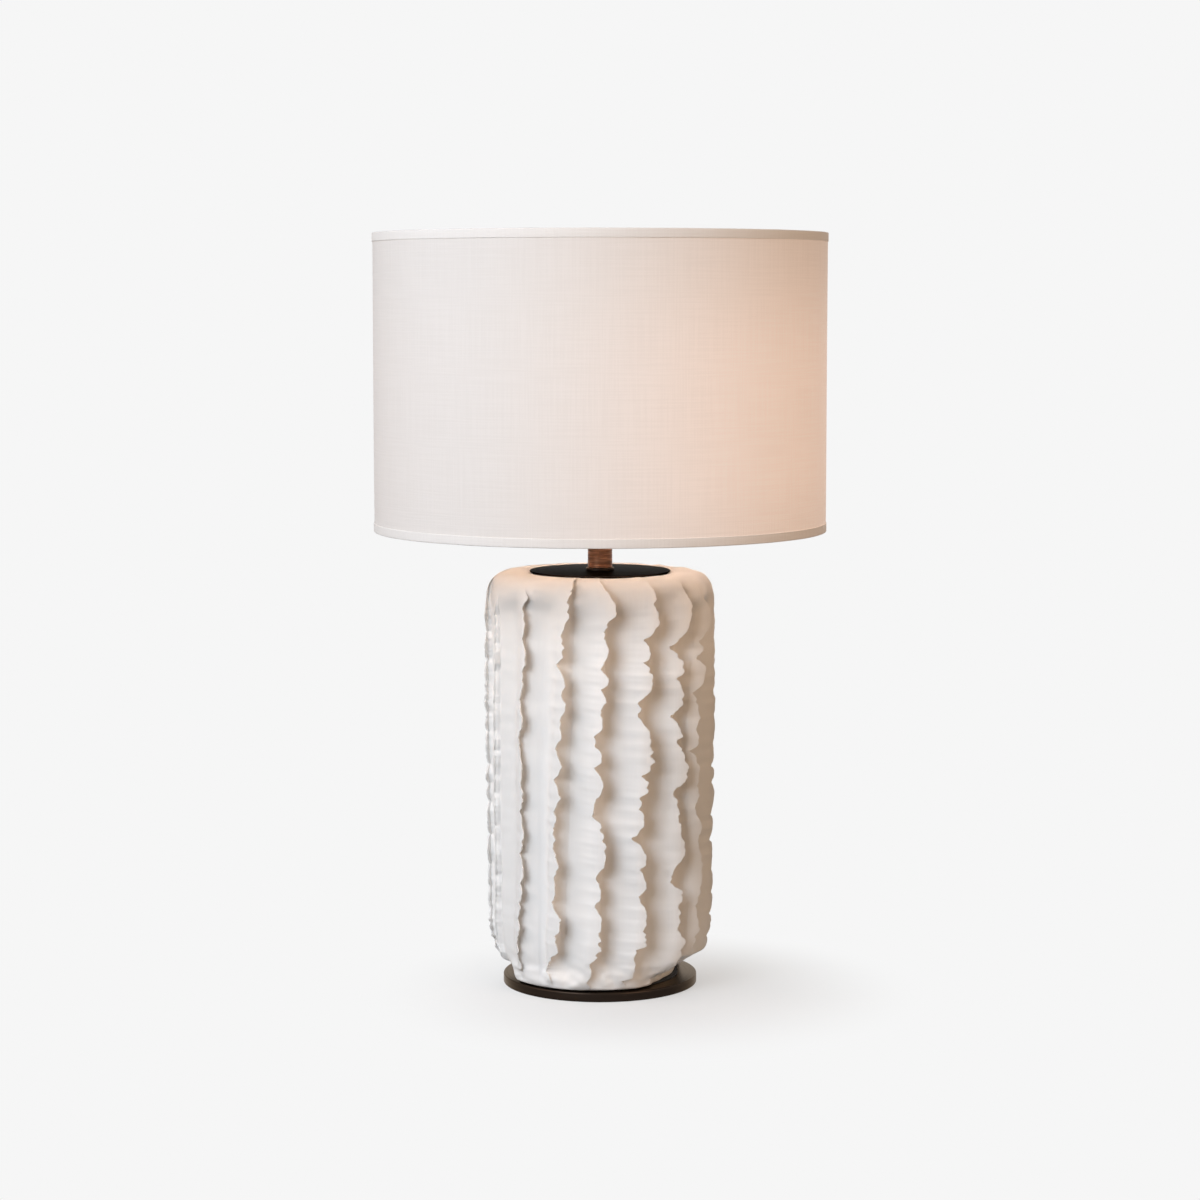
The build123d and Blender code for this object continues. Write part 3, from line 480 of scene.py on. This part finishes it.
def bronze(name="Dark Bronze", level=1.0, glance=0.6, roughness=0.3):
    """Dark bronzed steel with a satin sheen and turned lines; glance is its mirror at a flat angle."""
    colour = tinted(bpy.context.scene.lamp_metal.bronze, (level, level, level))
    return finish_of(
        name, colour, "Turned Lines", roughness=roughness, bump=0.12, tint=tinted(colour, (0.7, 0.7, 0.7)),
        shares=[("Pitch", 0.0005)], Metallic=1.0, Specular_Tint=(glance, glance * 0.88, glance * 0.76, 1.0),
    )


def copper():
    """Aged copper brown of the neck, with lines left by turning."""
    colour = tuple(bpy.context.scene.lamp_metal.copper)
    return finish_of(
        "Aged Copper", colour, "Turned Lines", roughness=0.36, bump=0.35, distance=0.0002,
        tint=tinted(colour, (0.55, 0.55, 0.55)), shares=[("Pitch", 0.0011)], Metallic=0.9,
    )


def brass():
    """Drawn brass of the bulb holder."""
    return finish_of(
        "Drawn Brass", tuple(bpy.context.scene.lamp_metal.brass), "Turned Lines", roughness=0.3, bump=0.1,
        shares=[("Pitch", 0.0008)], Metallic=1.0,
    )


def zinc():
    """Zinc plating of the tube, nuts and washers."""
    return finish_of(
        "Zinc Plate", (0.58, 0.58, 0.56), "Fine Grain", roughness=0.38, bump=0.1, tint=(0.46, 0.46, 0.44),
        shares=[("Scale", 500.0)], Metallic=1.0,
    )


def nickel():
    """Nickel plating of the bulb's cap."""
    return finish_of(
        "Nickel Plate", (0.66, 0.64, 0.60), "Turned Lines", roughness=0.26, bump=0.08,
        shares=[("Pitch", 0.0009)], Metallic=1.0,
    )


def felt():
    """Black felt under the plate."""
    return finish_of(
        "Black Felt", (0.03, 0.028, 0.027), "Fine Grain", roughness=0.95, bump=0.6, distance=0.0006,
        tint=(0.055, 0.052, 0.05), shares=[("Scale", 1200.0)], Sheen_Weight=0.3,
    )


def grained(name):
    """A fine-grained finish that no setting changes."""
    colour, scale, roughness, bump, distance = GRAINED[name]
    return finish_of(name, colour, "Fine Grain", roughness, bump, distance, shares=[("Scale", scale)])


def glowing(material, colour, strength):
    """Gives a material plain emission."""
    shader = material.node_tree.nodes["Principled BSDF"]
    shader.inputs["Emission Color"].default_value = (*colour, 1.0)
    shader.inputs["Emission Strength"].default_value = strength
    return material


def frosted():
    """Frosted dome, lit."""
    bulb = bpy.context.scene.lamp_bulb
    material = finish_of(
        "Frosted Dome", (0.86, 0.84, 0.80), "Fine Grain", roughness=0.55, bump=0.05,
        shares=[("Scale", 1200.0)],
    )
    return glowing(material, bulb.light, bulb.strength)


def linen(name, level=1.0, pale=1.0):
    """Linen with the bulb's light through it painted on as glow, warmest at the bulb's height and growing
    from left to right.

    level is a share of the painted glow, and pale of the linen's own colour."""
    if name in bpy.data.materials:
        return bpy.data.materials[name]
    shade = bpy.context.scene.lamp_shade
    colour = tinted(shade.linen, (pale, pale, pale))
    material = finish_of(
        name, colour, "Linen Weave", roughness=0.88, bump=0.18, distance=0.0002,
        tint=tinted(colour, (0.972, 0.968, 0.962)), shares=[("Thread", shade.thread), ("Slub", 0.55)],
        Sheen_Weight=0.15,
    )
    tree = material.node_tree
    shader = tree.nodes["Principled BSDF"]
    x, _, z = object_place(tree)
    # Painted glow: emission for the bulb's light through the linen, fading away from the bulb's height and
    # growing from left to right
    height = maths(tree, "ABSOLUTE", maths(tree, "SUBTRACT", z, GLOW_Z))
    near = spread(tree, height, *GLOW_FADE, 1.0, 0.5)
    glow = maths(tree, "MULTIPLY", near, spread(tree, x, *GLOW_SIDES, GLOW_LEFT))
    threads = next(node for node in tree.nodes if node.type == "GROUP").outputs["Threads"]
    glow = maths(tree, "MULTIPLY", glow, spread(tree, threads, 0.0, 1.0, 0.965, 1.035))
    warm = mixed(tree, glow, (0, 0, 0), tinted(shade.glow, (level, level, level)))
    tree.links.new(warm, shader.inputs["Emission Color"])
    shader.inputs["Emission Strength"].default_value = shade.glow_strength
    return material


def liner_sheet():
    """Translucent sheet inside the linen, with a painted glow for the bulb's light within."""
    material = finish_of(
        "Liner Sheet", (0.77, 0.74, 0.69), "Linen Weave", roughness=0.6, bump=0.1, distance=0.0002,
        shares=[("Thread", 0.0009), ("Slub", 0.4)],
    )
    # Painted glow: emission that stands in for the bulb's light on the sheet
    return glowing(material, (1.0, 0.66, 0.45), 0.20)


def dress(node, material):
    """Gives a CAD node its material."""
    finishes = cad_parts[node].data.materials
    finishes.clear()
    finishes.append(material)


def piece(name, verts, faces, body, material, node, smooth=35.0):
    """A mesh piece in metres that rides on a body and stands for a CAD node.

    smooth is the angle in degrees above which an edge stays sharp."""
    mesh = bpy.data.meshes.new(name)
    mesh.from_pydata(verts, [], faces)
    mesh.validate()
    mesh.update()
    obj = bpy.data.objects.new(name, mesh)
    bpy.context.scene.collection.objects.link(obj)
    mesh.materials.append(material)
    mesh.shade_smooth()
    mesh.set_sharp_from_angle(angle=math.radians(smooth))
    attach(obj, body)
    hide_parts(node)
    return obj


def softened(corners, steps=5):
    """Points of an outline whose corners (radius, height, rounding) are rounded off."""
    points = []
    for i, (r, z, rounding) in enumerate(corners):
        here = Vector((r, z))
        if not rounding:
            points.append(here)
            continue
        before, after = (Vector(corners[j % len(corners)][:2]) - here for j in (i - 1, i + 1))
        reach = rounding / math.tan(before.angle(after) / 2)
        start, end = here + before.normalized() * reach, here + after.normalized() * reach
        for step in range(steps + 1):
            t = step / steps
            points.append((1 - t) ** 2 * start + 2 * t * (1 - t) * here + t**2 * end)
    return points


def turned_piece(name, corners, body, material, node, segments, wobble=None):
    """A closed turned piece from the corners of its section, in millimetres."""
    outline = softened(corners)
    verts = []
    for i in range(segments):
        a = math.tau * i / segments
        for r, z in outline:
            r, z = wobble(a, r, z) if wobble else (r, z)
            verts.append((r * math.cos(a) * MM, r * math.sin(a) * MM, z * MM))
    n = len(outline)
    faces = []
    for i in range(segments):
        here, beyond = i * n, (i + 1) % segments * n
        for j in range(n):
            up = (j + 1) % n
            faces.append((here + j, beyond + j, beyond + up, here + up))
    return piece(name, verts, faces, body, material, node)


def torn_edge(fin):
    """Heights and sideways places of a fin's notches and lobes, upwards."""
    if fin in FRONT_EDGES:
        return FRONT_EDGES[fin]
    draw = random.Random(EDGE_SEED + fin)
    z, lean, points = draw.uniform(*FIRST_NOTCH), draw.uniform(*FOOT_LEAN), []
    while z < EDGE_END:
        line = lean + (CROWN_LEAN - lean) * z / 360
        points.append((z, line - draw.uniform(*NOTCH_DEPTH)))
        rise, fall = draw.uniform(*LOBE_RISE), draw.uniform(*LOBE_FALL)
        points.append((z + rise, line + draw.uniform(0.5, 0.22 * (rise + fall))))
        z += rise + fall
    return points


def edge_place(points, z):
    """Sideways place of a torn edge at a height: round at its lobes, sharp in its notches."""
    if z <= points[0][0] or z >= points[-1][0]:
        return points[0][1] if z <= points[0][0] else points[-1][1]
    i = next(i for i in range(1, len(points)) if z <= points[i][0])
    (z0, t0), (z1, t1) = points[i - 1], points[i]
    rise = t1 - t0

    def slope(here, beyond):
        """Steep at a notch, flat at a lobe, and even where the edge runs straight on."""
        if not 0 <= beyond < len(points):
            return rise
        before = (points[here][1] - points[beyond][1]) * (1 if beyond < here else -1)
        if before * rise > 0:
            return (before + rise) / 2
        is_notch = points[here][1] < points[beyond][1]
        return 1.8 * rise if is_notch else 0.0

    u = (z - z0) / (z1 - z0)
    start, end = slope(i - 1, i - 2), slope(i, i + 1)
    smooth = u * u * (3 - 2 * u)
    return t0 + rise * smooth + start * u * (1 - u) ** 2 - end * u * u * (1 - u)


def wavering(fin, z, seed, size):
    """A slow irregular offset up a fin."""
    return size * noise.noise((fin * 7.3 + seed, z * 0.021, seed * 1.7))


def along_outline(step):
    """Smooth rows of the body's outline, about a step apart: floor and fin points."""
    knots = [(Vector(a), Vector(b)) for a, b in BODY_OUTLINE]
    rows = []
    for i in range(len(knots) - 1):
        near = [knots[min(max(j, 0), len(knots) - 1)] for j in (i - 1, i, i + 1, i + 2)]
        length = max((near[2][1] - near[1][1]).length, (near[2][0] - near[1][0]).length)
        count = max(2, round(length / step))
        for k in range(count):
            t = k / count
            rows.append([bend([p[which] for p in near], t) for which in (0, 1)])
    rows.append([Vector(p) for p in BODY_OUTLINE[-1]])
    return rows


def bend(points, t):
    """A point on the curve through four points, between the middle two, with tamed overshoot."""
    p0, p1, p2, p3 = points
    span = (p2 - p1).length or 1.0
    m1 = (p2 - p0) * span / max((p2 - p0).length, 1e-6)
    m2 = (p3 - p1) * span / max((p3 - p1).length, 1e-6)
    h = t * t * (3 - 2 * t)
    return p1 * (1 - h) + p2 * h + m1 * (t * (1 - t) ** 2) - m2 * (t * t * (1 - t))


def planned_fins(count):
    """Every fin's own values, counted round the body from the front."""
    fins = []
    for i in range(count):
        side = i if i < count / 2 else i - count
        stray = random.Random(STRAY_SEED + side).uniform(-FIN_STRAY, FIN_STRAY) * (side not in FRONT_EDGES)
        crease = (random.Random(CREASE_SEED + side).uniform(-2, 5), *OTHER_CREASE)
        draw = random.Random(ENDS_SEED + side)
        ends = draw.uniform(12, 26), draw.uniform(350, 366)
        fins.append(Fin(
            i, i * 360 / count + FIN_PHASE + stray, torn_edge(side), *FRONT_CREASES.get(side, crease),
            STEEP_EDGES.get(side, 0.0), *FRONT_ENDS.get(side, ends),
        ))
    return fins


def cut_at(fin, z, ragged):
    """A fin at one height; ragged is how far its edge strays, in millimetres."""
    rough = ragged * (RAGGED_FOOT if z < RAGGED_FOOT_TOP else 1.0)
    edge = edge_place(fin.points, z)
    for size, apart, pace, seed, off in RAGGED:
        edge += rough * (size * abs(noise.noise((fin.number * apart, z * pace, seed))) - off)
    middle = sum(edge_place(fin.points, z + step) for step in MEAN_STEPS) / len(MEAN_STEPS)
    edge = middle + (edge - middle) * min(0.3 + fin.depth, 1.0)
    crease = fin.crease_low + (fin.crease_high - fin.crease_low) * min(max((z - 30) / 320, 0.0), 1.0)
    crease += wavering(fin.number, z, 3.0, 1.6)
    tall = eased((z - fin.begins) / FIN_RISE) * (1 - wavering(fin.number, z, 9.0, 0.05))
    full = FILL_SHARE * eased((z - fin.fills) / FILL_RISE)
    return Cut(math.radians(fin.line), edge, middle, crease, tall, fin.sharp, full, fin.depth, fin.steep)


def carved_body(settings):
    """Vertices and faces of the body: ruffled fins and scoops outside, a plain hollow inside."""
    fins = planned_fins(settings.fins)
    rows = along_outline(settings.row / MM)
    verts = []
    for floor, edge in rows:
        cuts = [cut_at(fin, edge.y, settings.ragged / MM) for fin in fins]
        low_share = min(max((edge.y - 10) / 22, 0.0), 1.0)
        for i, cut in enumerate(cuts):
            for around, lift in section(cut, cuts[(i + 1) % len(cuts)], low_share):
                verts.append(carved_point(floor, edge, around, lift, i))
    count = len(verts) // len(rows)
    for r, z in HOLLOW_OUTLINE:
        for x, y, _ in verts[:count]:
            size = math.hypot(x, y)
            verts.append((x / size * r, y / size * r, z))
    total = len(rows) + len(HOLLOW_OUTLINE)
    faces = []
    for row in range(total):
        here, above = row * count, ((row + 1) % total) * count
        for c in range(count):
            right = (c + 1) % count
            faces.append((here + c, here + right, above + right, above + c))
    return [(x * MM, y * MM, z * MM) for x, y, z in verts], faces


def eased(share):
    """A share kept between 0 and 1, with soft ends."""
    share = min(max(share, 0.0), 1.0)
    return share * share * (3 - 2 * share)


def outlet_seat(x, y, z):
    """A point of the body, moved to the flat seat and the hole of the cable outlet."""
    turn = math.radians(OUTLET_TURN)
    out_x, out_y = math.sin(turn), -math.cos(turn)
    depth, beside = x * out_x + y * out_y, math.hypot(x * out_y - y * out_x, z - OUTLET_Z)
    if depth < 0 or beside > OUTLET_FLANGE_R + OUTLET_BLEND:
        return x, y, z
    seat = OUTLET_SEAT - (OUTLET_DEPTH if beside < OUTLET_HOLE_R else 0)
    size = (seat + (depth - seat) * eased((beside - OUTLET_FLANGE_R) / OUTLET_BLEND)) / depth
    return x * size, y * size, z


def foot_shift(aside):
    """How far the foot strays from its circle, at an angle from the front."""
    if not FOOT_SHIFTS[0][0] < aside < FOOT_SHIFTS[-1][0]:
        return 0.0
    i = next(i for i in range(1, len(FOOT_SHIFTS)) if aside <= FOOT_SHIFTS[i][0])
    (a0, out0), (a1, out1) = FOOT_SHIFTS[i - 1], FOOT_SHIFTS[i]
    return out0 + (out1 - out0) * eased((aside - a0) / (a1 - a0))


def lip_height(beyond, steep):
    """Relative height of a fin's sheet at a distance past the start of its lip."""
    start, gain = LIP_HEIGHT - 0.14 * steep, LIP_GAIN + 0.24 * steep
    if beyond < 0:
        return start + beyond * gain / LIP_LENGTH
    return start + gain * (1 - math.exp(-beyond / LIP_LENGTH))


def scoop_height(share, sharp, depth, steep):
    """Relative height of a scoop between its crease and the start of the next fin's lip."""
    top = lip_height(0, steep)
    soft = 0.10 * max(1 - share / 0.3, 0.0) ** 2
    soft += top * max((share - 0.15) / 0.85, 0.0) ** (0.7 + 1.2 * depth)
    keen = 0.01 + (top - 0.01) * (0.25 * share + 0.75 * share * share)
    return soft + (keen - soft) * sharp


def filled(lift, full, shallow=0.0):
    """A relative height raised where the scoop fills up or isn't deep."""
    return FILLED - (FILLED - lift) * (1 - full) * (1 - shallow)


def lip_points(cut):
    """Sideways place and relative height of a fin's lip, from its flank to its torn edge."""
    start = min(cut.middle - LIP_REACH, cut.edge - 0.8)
    places = [start + (cut.edge - start) * way for way in LIP]
    return [(place, lip_height(place - cut.middle + LIP_REACH, cut.steep) * cut.tall) for place in places]


def wall_points(cut, low_share):
    """Sideways place and relative height from a fin's torn edge down its rear face to the crease.

    The face behind the lip closes up against the wall where the scoop isn't deep."""
    lip = lip_points(cut)
    tall, brink, closed = cut.tall, cut.edge + 0.3, eased((0.6 - cut.depth) / 0.35)
    points = [(brink, filled(lip[-1][1] - 0.045 * tall, cut.full))]
    for j, thick, drop in LIP_BACK:
        back, high = lip[j][0] + thick, lip[j][1] - drop * cut.depth * tall
        high += (lip[-1][1] - 0.08 * tall - high) * closed
        points.append((back + (brink + 0.25 * thick - back) * closed, filled(high, cut.full)))
    under = lip[0][0] + 2.1
    under += (cut.edge + 1.0 + 0.35 * max(cut.crease - cut.edge, 0.0) - under) * closed
    share = (lip[0][1] - 0.13 * tall) / (WALL[0][1] * tall) if tall > 0.02 else 1.0
    last = WALL[-1][1] + (WALL[-1][2] - WALL[-1][1]) * cut.sharp
    for way, soft, keen in WALL:
        height = soft + (keen - soft) * cut.sharp
        lift = last * low_share + (height - last) * tall * min(share, 1.15)
        shallow = (1 - cut.depth) * (0.75 + 0.25 * way)
        points.append((under + (cut.crease - under) * way, filled(lift, cut.full, shallow)))
    return points


def section(cut, beyond, low_share):
    """Angle and relative height across one fin's wall, the scoop beyond it and the next fin's flank.

    low_share is how far the scoops have come out of the foot at this height."""
    points = [(cut.line + aside / SIDEWAYS_R, lift) for aside, lift in wall_points(cut, low_share)]
    lip = lip_points(beyond)
    next_line = beyond.line + (math.tau if beyond.line < cut.line else 0.0)
    start = cut.line + cut.crease / SIDEWAYS_R
    whole = next_line + (beyond.middle - LIP_REACH) / SIDEWAYS_R - start
    end = (next_line + lip[0][0] / SIDEWAYS_R - start) / whole
    for way in SCOOP:
        tall = low_share + (beyond.tall - low_share) * eased(way / 0.5)
        lift = scoop_height(way * end, cut.sharp, cut.depth, beyond.steep) * tall
        full = cut.full + (beyond.full - cut.full) * way
        lift = filled(lift, full, (1 - cut.depth) * (1 - eased(way)))
        points.append((start + whole * end * way, lift))
    points += [(next_line + aside / SIDEWAYS_R, filled(lift, beyond.full)) for aside, lift in lip]
    return points


def carved_point(floor, edge, around, lift, number):
    """A point of the carved surface between the scoop's floor and the fin's edge, slightly uneven."""
    point = floor.lerp(edge, lift)
    aside, ahead, z = math.sin(around), math.cos(around), point.y
    radius = point.x + SWELL * noise.noise((around * 4.0, z * 0.02, 2.0 + number)) * min(z / 40, 1.0)
    waves = eased((z - 24) / 20) * eased((356 - z) / 20) * (WAVE + LEFT_WAVE * eased(-0.6 - 2 * aside))
    radius += waves * noise.noise((aside * 4, ahead * 4, z * 0.12))
    lumps = eased((48 - z) / 30) * eased((z - 10) / 4)
    radius += LUMP * lumps * noise.noise((aside * 11, ahead * 11, z * 0.14))
    radius += foot_shift((math.degrees(around) + 180) % 360 - 180) * eased((30 - z) / 15)
    return outlet_seat(radius * aside, -radius * ahead, z)


class LAMP_OT_ceramic_body(bpy.types.Operator):
    """Carve the hollow ceramic body with its ruffled fins"""

    bl_idname = "lamp.ceramic_body"
    bl_label = "Ceramic Body"

    def execute(self, context):
        verts, faces = carved_body(context.scene.lamp_ceramic)
        piece("carved_body", verts, faces, "base", bisque(), "ceramic_body", smooth=60.0)
        return {"FINISHED"}


class LAMP_OT_metalwork(bpy.types.Operator):
    """Turn the plate, the cap, the collar and the neck"""

    bl_idname = "lamp.metalwork"
    bl_label = "Metalwork"

    def execute(self, context):
        turned_piece(
            "turned_plate",
            [(BORE_R, RECESS_TOP, 0), (RECESS_R, RECESS_TOP, 0.3), (RECESS_R, PAD_TOP, 0.3),
             (PAD_R, PAD_TOP, 0), (PAD_R, PLATE_RIM_Z, 0.2), (PLATE_R, PLATE_RIM_Z, 0.6),
             (PLATE_R, PLATE_TOP, 1.3), (BORE_R, PLATE_TOP, 0)],
            "base", bronze(glance=0.95), "base_plate", segments=256,
        )
        turned_piece(
            "turned_cap",
            [(BORE_R, CAP_Z, 0), (CAP_R, CAP_Z, 0.4), (CAP_R, CAP_TOP, 0.4), (BORE_R, CAP_TOP, 0)],
            "base", bronze("Cap Bronze", 0.8, 0.1, 0.4), "top_cap", segments=256,
        )
        turned_piece(
            "turned_collar",
            [(BORE_R, CAP_TOP, 0), (COLLAR_R, CAP_TOP, 0.3), (COLLAR_R, COLLAR_TOP, 0.9),
             (BORE_R, COLLAR_TOP, 0)],
            "base", bronze(), "neck_collar", segments=128,
        )
        lines = context.scene.lamp_metal.lines
        draw = random.Random(LINES_SEED)
        outer = [(NECK_R, COLLAR_TOP + LINE_H, 0.2)]
        for i in range(lines):
            z = LINES_Z + i * (LINES_LENGTH / lines)
            depth = draw.uniform(0.03, 0.16) + (0.18 if i % 5 == 0 else 0)
            outer += [(NECK_R, z, 0), (NECK_R - depth, z + LINE_H, 0), (NECK_R, z + 2 * LINE_H, 0)]
        turned_piece(
            "turned_neck",
            [(NECK_BORE_R, COLLAR_TOP, 0), (NECK_FOOT_R, COLLAR_TOP, 0), *outer, (NECK_R, NECK_TOP, 0.3),
             (NECK_BORE_R, NECK_TOP, 0)],
            "base", copper(), "neck_tube", segments=96,
        )
        return {"FINISHED"}


def hem(name, node, rim, up):
    """One hem of the drum: the height of its rim, and the way its legs reach from there, 1 or -1."""
    outer, behind, before, inner = HEM_FACES
    leg, bend_z = rim + up * HEM_H, rim + up * HEM_T
    corners = [
        (outer, leg, 0.2), (behind, leg, 0), (behind, bend_z, 0), (before, bend_z, 0), (before, leg, 0),
        (inner, leg, 0.2), (inner, rim, 0.9), (outer, rim, 0.9),
    ]

    def uneven(a, r, z):
        """The hem's slight waves, outwards and upwards."""
        wave = noise.noise((math.cos(a) * 9, math.sin(a) * 9, rim))
        return r + 0.10 * math.sin(3 * a + 1.0), z + 0.10 * wave

    # The hems' linen is paler and carries a third of the painted glow
    return turned_piece(
        name, corners[::up], "shade", linen("Hem Linen", 0.33, 1.12), node, segments=288,
        wobble=uneven,
    )


class LAMP_OT_drum_shade(bpy.types.Operator):
    """Wrap the drum in linen, with its hems and the sheet inside"""

    bl_idname = "lamp.drum_shade"
    bl_label = "Drum Shade"

    def execute(self, context):
        low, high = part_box("shade_cover")
        bottom, top = low.z / MM, high.z / MM
        inside = COVER_R - COVER_T
        face = [(COVER_R, bottom + (top - bottom) * i / 40, 0) for i in range(1, 40)]

        def uneven(a, r, z):
            """The linen's slight waves outwards."""
            return r + 0.12 * math.sin(3 * a + 1.0) + 0.08 * math.sin(7 * a + z * 0.02), z

        cover = turned_piece(
            "linen_cover",
            [(inside, bottom, 0), (COVER_R, bottom, 0), *face, (COVER_R, top, 0), (inside, top, 0)],
            "shade", linen("Linen"), "shade_cover", segments=288, wobble=uneven,
        )
        hems = [
            hem("lower_hem", "shade_lower_hem", bottom - HEM_PAST, 1),
            hem("upper_hem", "shade_upper_hem", top + HEM_PAST, -1),
        ]
        dress("shade_liner", liner_sheet())
        return {"FINISHED"}


class LAMP_OT_fittings(bpy.types.Operator):
    """Finish the holder, switch, wires, bulb and the small fastenings"""

    bl_idname = "lamp.fittings"
    bl_label = "Holder, Wires, Bulb and Fastenings"

    def execute(self, context):
        finishes = (
            (felt(), ["base_pad"]),
            (zinc(), ["plate_washer", "lock_washers", "rod_nuts", "lamp_rod", "hub_screw"]),
            (grained("Gasket Foam"), ["foot_gasket", "crown_gasket"]),
            (grained("Black Moulding"),
             ["foot_locator", "cord_grommet", "crown_bush", "switch_body", "switch_knob"]),
            (brass(),
             ["socket_cap", "socket_shell", "terminal_screws", "screw_shell", "centre_contact",
              "switch_stem", "shade_ring", "bulb_contact"]),
            (grained("Insulating Fibre"), ["socket_liner"]),
            (grained("White Powder Coat"),
             ["fitter_ring", "fitter_arms", "shade_lower_hoop", "shade_upper_hoop", "bulb_board"]),
            (grained("Black Glass"), ["bulb_insulator"]),
            (nickel(), ["bulb_cap"]),
            (grained("White Moulding"), ["bulb_housing"]),
            (frosted(), ["bulb_diffuser"]),
        )
        for material, nodes in finishes:
            for node in nodes:
                dress(node, material)
        return {"FINISHED"}


class LAMP_OT_studio(bpy.types.Operator):
    """Set the floor, the lights and the camera"""

    bl_idname = "lamp.studio"
    bl_label = "Studio"

    def execute(self, context):
        studio = context.scene.lamp_studio
        floor_and_world(studio)
        for name, (place, colour) in LAMPS.items():
            light = bpy.data.lights.new(name, "AREA")
            light.size, light.energy, light.color = LAMP_SIZE, getattr(studio, name.lower()), colour
            obj = bpy.data.objects.new(name, light)
            obj.location = place
            # The light behind the lamp stays out of the plate's mirror
            obj.visible_glossy = name != "Back"
            obj.rotation_euler = (Vector(LAMP_AIM) - Vector(place)).to_track_quat("-Z", "Y").to_euler()
            context.scene.collection.objects.link(obj)
        lens = bpy.data.cameras.new("Camera")
        lens.lens, lens.sensor_width = studio.lens, 36.0
        camera = bpy.data.objects.new("Camera", lens)
        camera.location = CAMERA_PLACE
        camera.rotation_euler = (math.radians(90 - CAMERA_PITCH), 0.0, 0.0)
        context.scene.collection.objects.link(camera)
        context.scene.camera = camera
        context.scene.view_settings.view_transform = "Standard"
        return {"FINISHED"}


def floor_and_world(studio):
    """A pale floor that keeps the lamp's shadow and fades into the background."""
    scene = bpy.context.scene
    world = bpy.data.worlds.new("Studio")
    scene.world = world
    world.use_nodes = True
    tree = world.node_tree
    room = mixed(tree, seen_directly(tree), ROOM_TINT, (1.0, 1.0, 1.0))
    tree.links.new(room, tree.nodes["Background"].inputs["Color"])
    level = spread(tree, seen_directly(tree), 0.0, 1.0, studio.world, studio.background)
    tree.links.new(level, tree.nodes["Background"].inputs["Strength"])

    size = FLOOR_SIZE
    corners = [(-size, -size, 0), (size, -size, 0), (size, size, 0), (-size, size, 0)]
    mesh = bpy.data.meshes.new("floor")
    mesh.from_pydata(corners, [], [(0, 1, 2, 3)])
    floor = bpy.data.objects.new("floor", mesh)
    scene.collection.objects.link(floor)
    paper = bpy.data.materials.new("Studio Paper")
    paper.use_nodes = True
    mesh.materials.append(paper)
    tree = paper.node_tree
    shader = tree.nodes["Principled BSDF"]
    shader.inputs["Base Color"].default_value = (FLOOR_COLOUR, FLOOR_COLOUR, FLOOR_COLOUR, 1)
    shader.inputs["Roughness"].default_value = 0.9
    shader.inputs["Specular IOR Level"].default_value = 0.0
    shader.inputs["Emission Color"].default_value = (1, 1, 1, 1)
    level = spread(tree, seen_directly(tree), 0.0, 1.0, *FLOOR_LIGHT)
    tree.links.new(level, shader.inputs["Emission Strength"])
    far = shader_node(tree, "ShaderNodeEmission", [("Color", (1, 1, 1, 1))])
    level = spread(tree, seen_directly(tree), 0.0, 1.0, FAR_LIGHT, studio.background)
    tree.links.new(level, far.inputs["Strength"])
    # Near the middle the floor shows the lamps' cast shadow, and is also painted a little darker than the
    # faded floor
    place = tree.nodes.new("ShaderNodeTexCoord").outputs["Object"]
    reach = shader_node(
        tree, "ShaderNodeVectorMath", [(0, place), (1, FLOOR_MIDDLE)], operation="DISTANCE"
    ).outputs["Value"]
    grain = shader_node(tree, "ShaderNodeTexNoise", [("Scale", 40.0)]).outputs["Fac"]
    reach = maths(tree, "ADD", reach, maths(tree, "MULTIPLY", grain, 0.02))
    blend = shader_node(
        tree, "ShaderNodeMixShader",
        [(0, spread(tree, reach, *FLOOR_FADE)), (1, shader.outputs[0]), (2, far.outputs[0])],
    )
    tree.links.new(blend.outputs[0], tree.nodes["Material Output"].inputs[0])


def seen_directly(tree):
    """1 for what the camera sees, straight, in metal or through glass, and 0 for other light."""
    path = tree.nodes.new("ShaderNodeLightPath").outputs
    through = maths(tree, "MAXIMUM", path["Is Glossy Ray"], path["Is Transmission Ray"])
    return maths(tree, "MAXIMUM", path["Is Camera Ray"], through)


class LAMP_PT_panel(bpy.types.Panel):
    bl_label = "Ruffled Lamp"
    bl_idname = "LAMP_PT_panel"
    bl_space_type = "VIEW_3D"
    bl_region_type = "UI"
    bl_category = "Lamp"

    def draw(self, context):
        for group in SETTINGS:
            box = self.layout.box()
            values = getattr(context.scene, group)
            for prop in values.__annotations__:
                box.prop(values, prop)
        for operator in OPERATORS:
            self.layout.operator(operator.bl_idname)


SETTINGS = {
    "lamp_ceramic": CeramicSettings, "lamp_metal": MetalSettings, "lamp_shade": ShadeSettings,
    "lamp_bulb": BulbSettings, "lamp_studio": StudioSettings,
}
OPERATORS = (LAMP_OT_ceramic_body, LAMP_OT_metalwork, LAMP_OT_drum_shade, LAMP_OT_fittings, LAMP_OT_studio)


def register():
    """Register the settings, operators and panel."""
    for cls in (*SETTINGS.values(), *OPERATORS, LAMP_PT_panel):
        bpy.utils.register_class(cls)
    for name, cls in SETTINGS.items():
        setattr(bpy.types.Scene, name, PointerProperty(type=cls))


def unregister():
    """Undo register."""
    for name in SETTINGS:
        delattr(bpy.types.Scene, name)
    for cls in (LAMP_PT_panel, *reversed(OPERATORS), *reversed(SETTINGS.values())):
        bpy.utils.unregister_class(cls)


def main():
    """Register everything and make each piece."""
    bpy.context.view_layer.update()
    register()
    bpy.ops.lamp.ceramic_body()
    bpy.ops.lamp.metalwork()
    bpy.ops.lamp.drum_shade()
    bpy.ops.lamp.fittings()
    bpy.ops.lamp.studio()


if __name__ == "__main__":
    main()
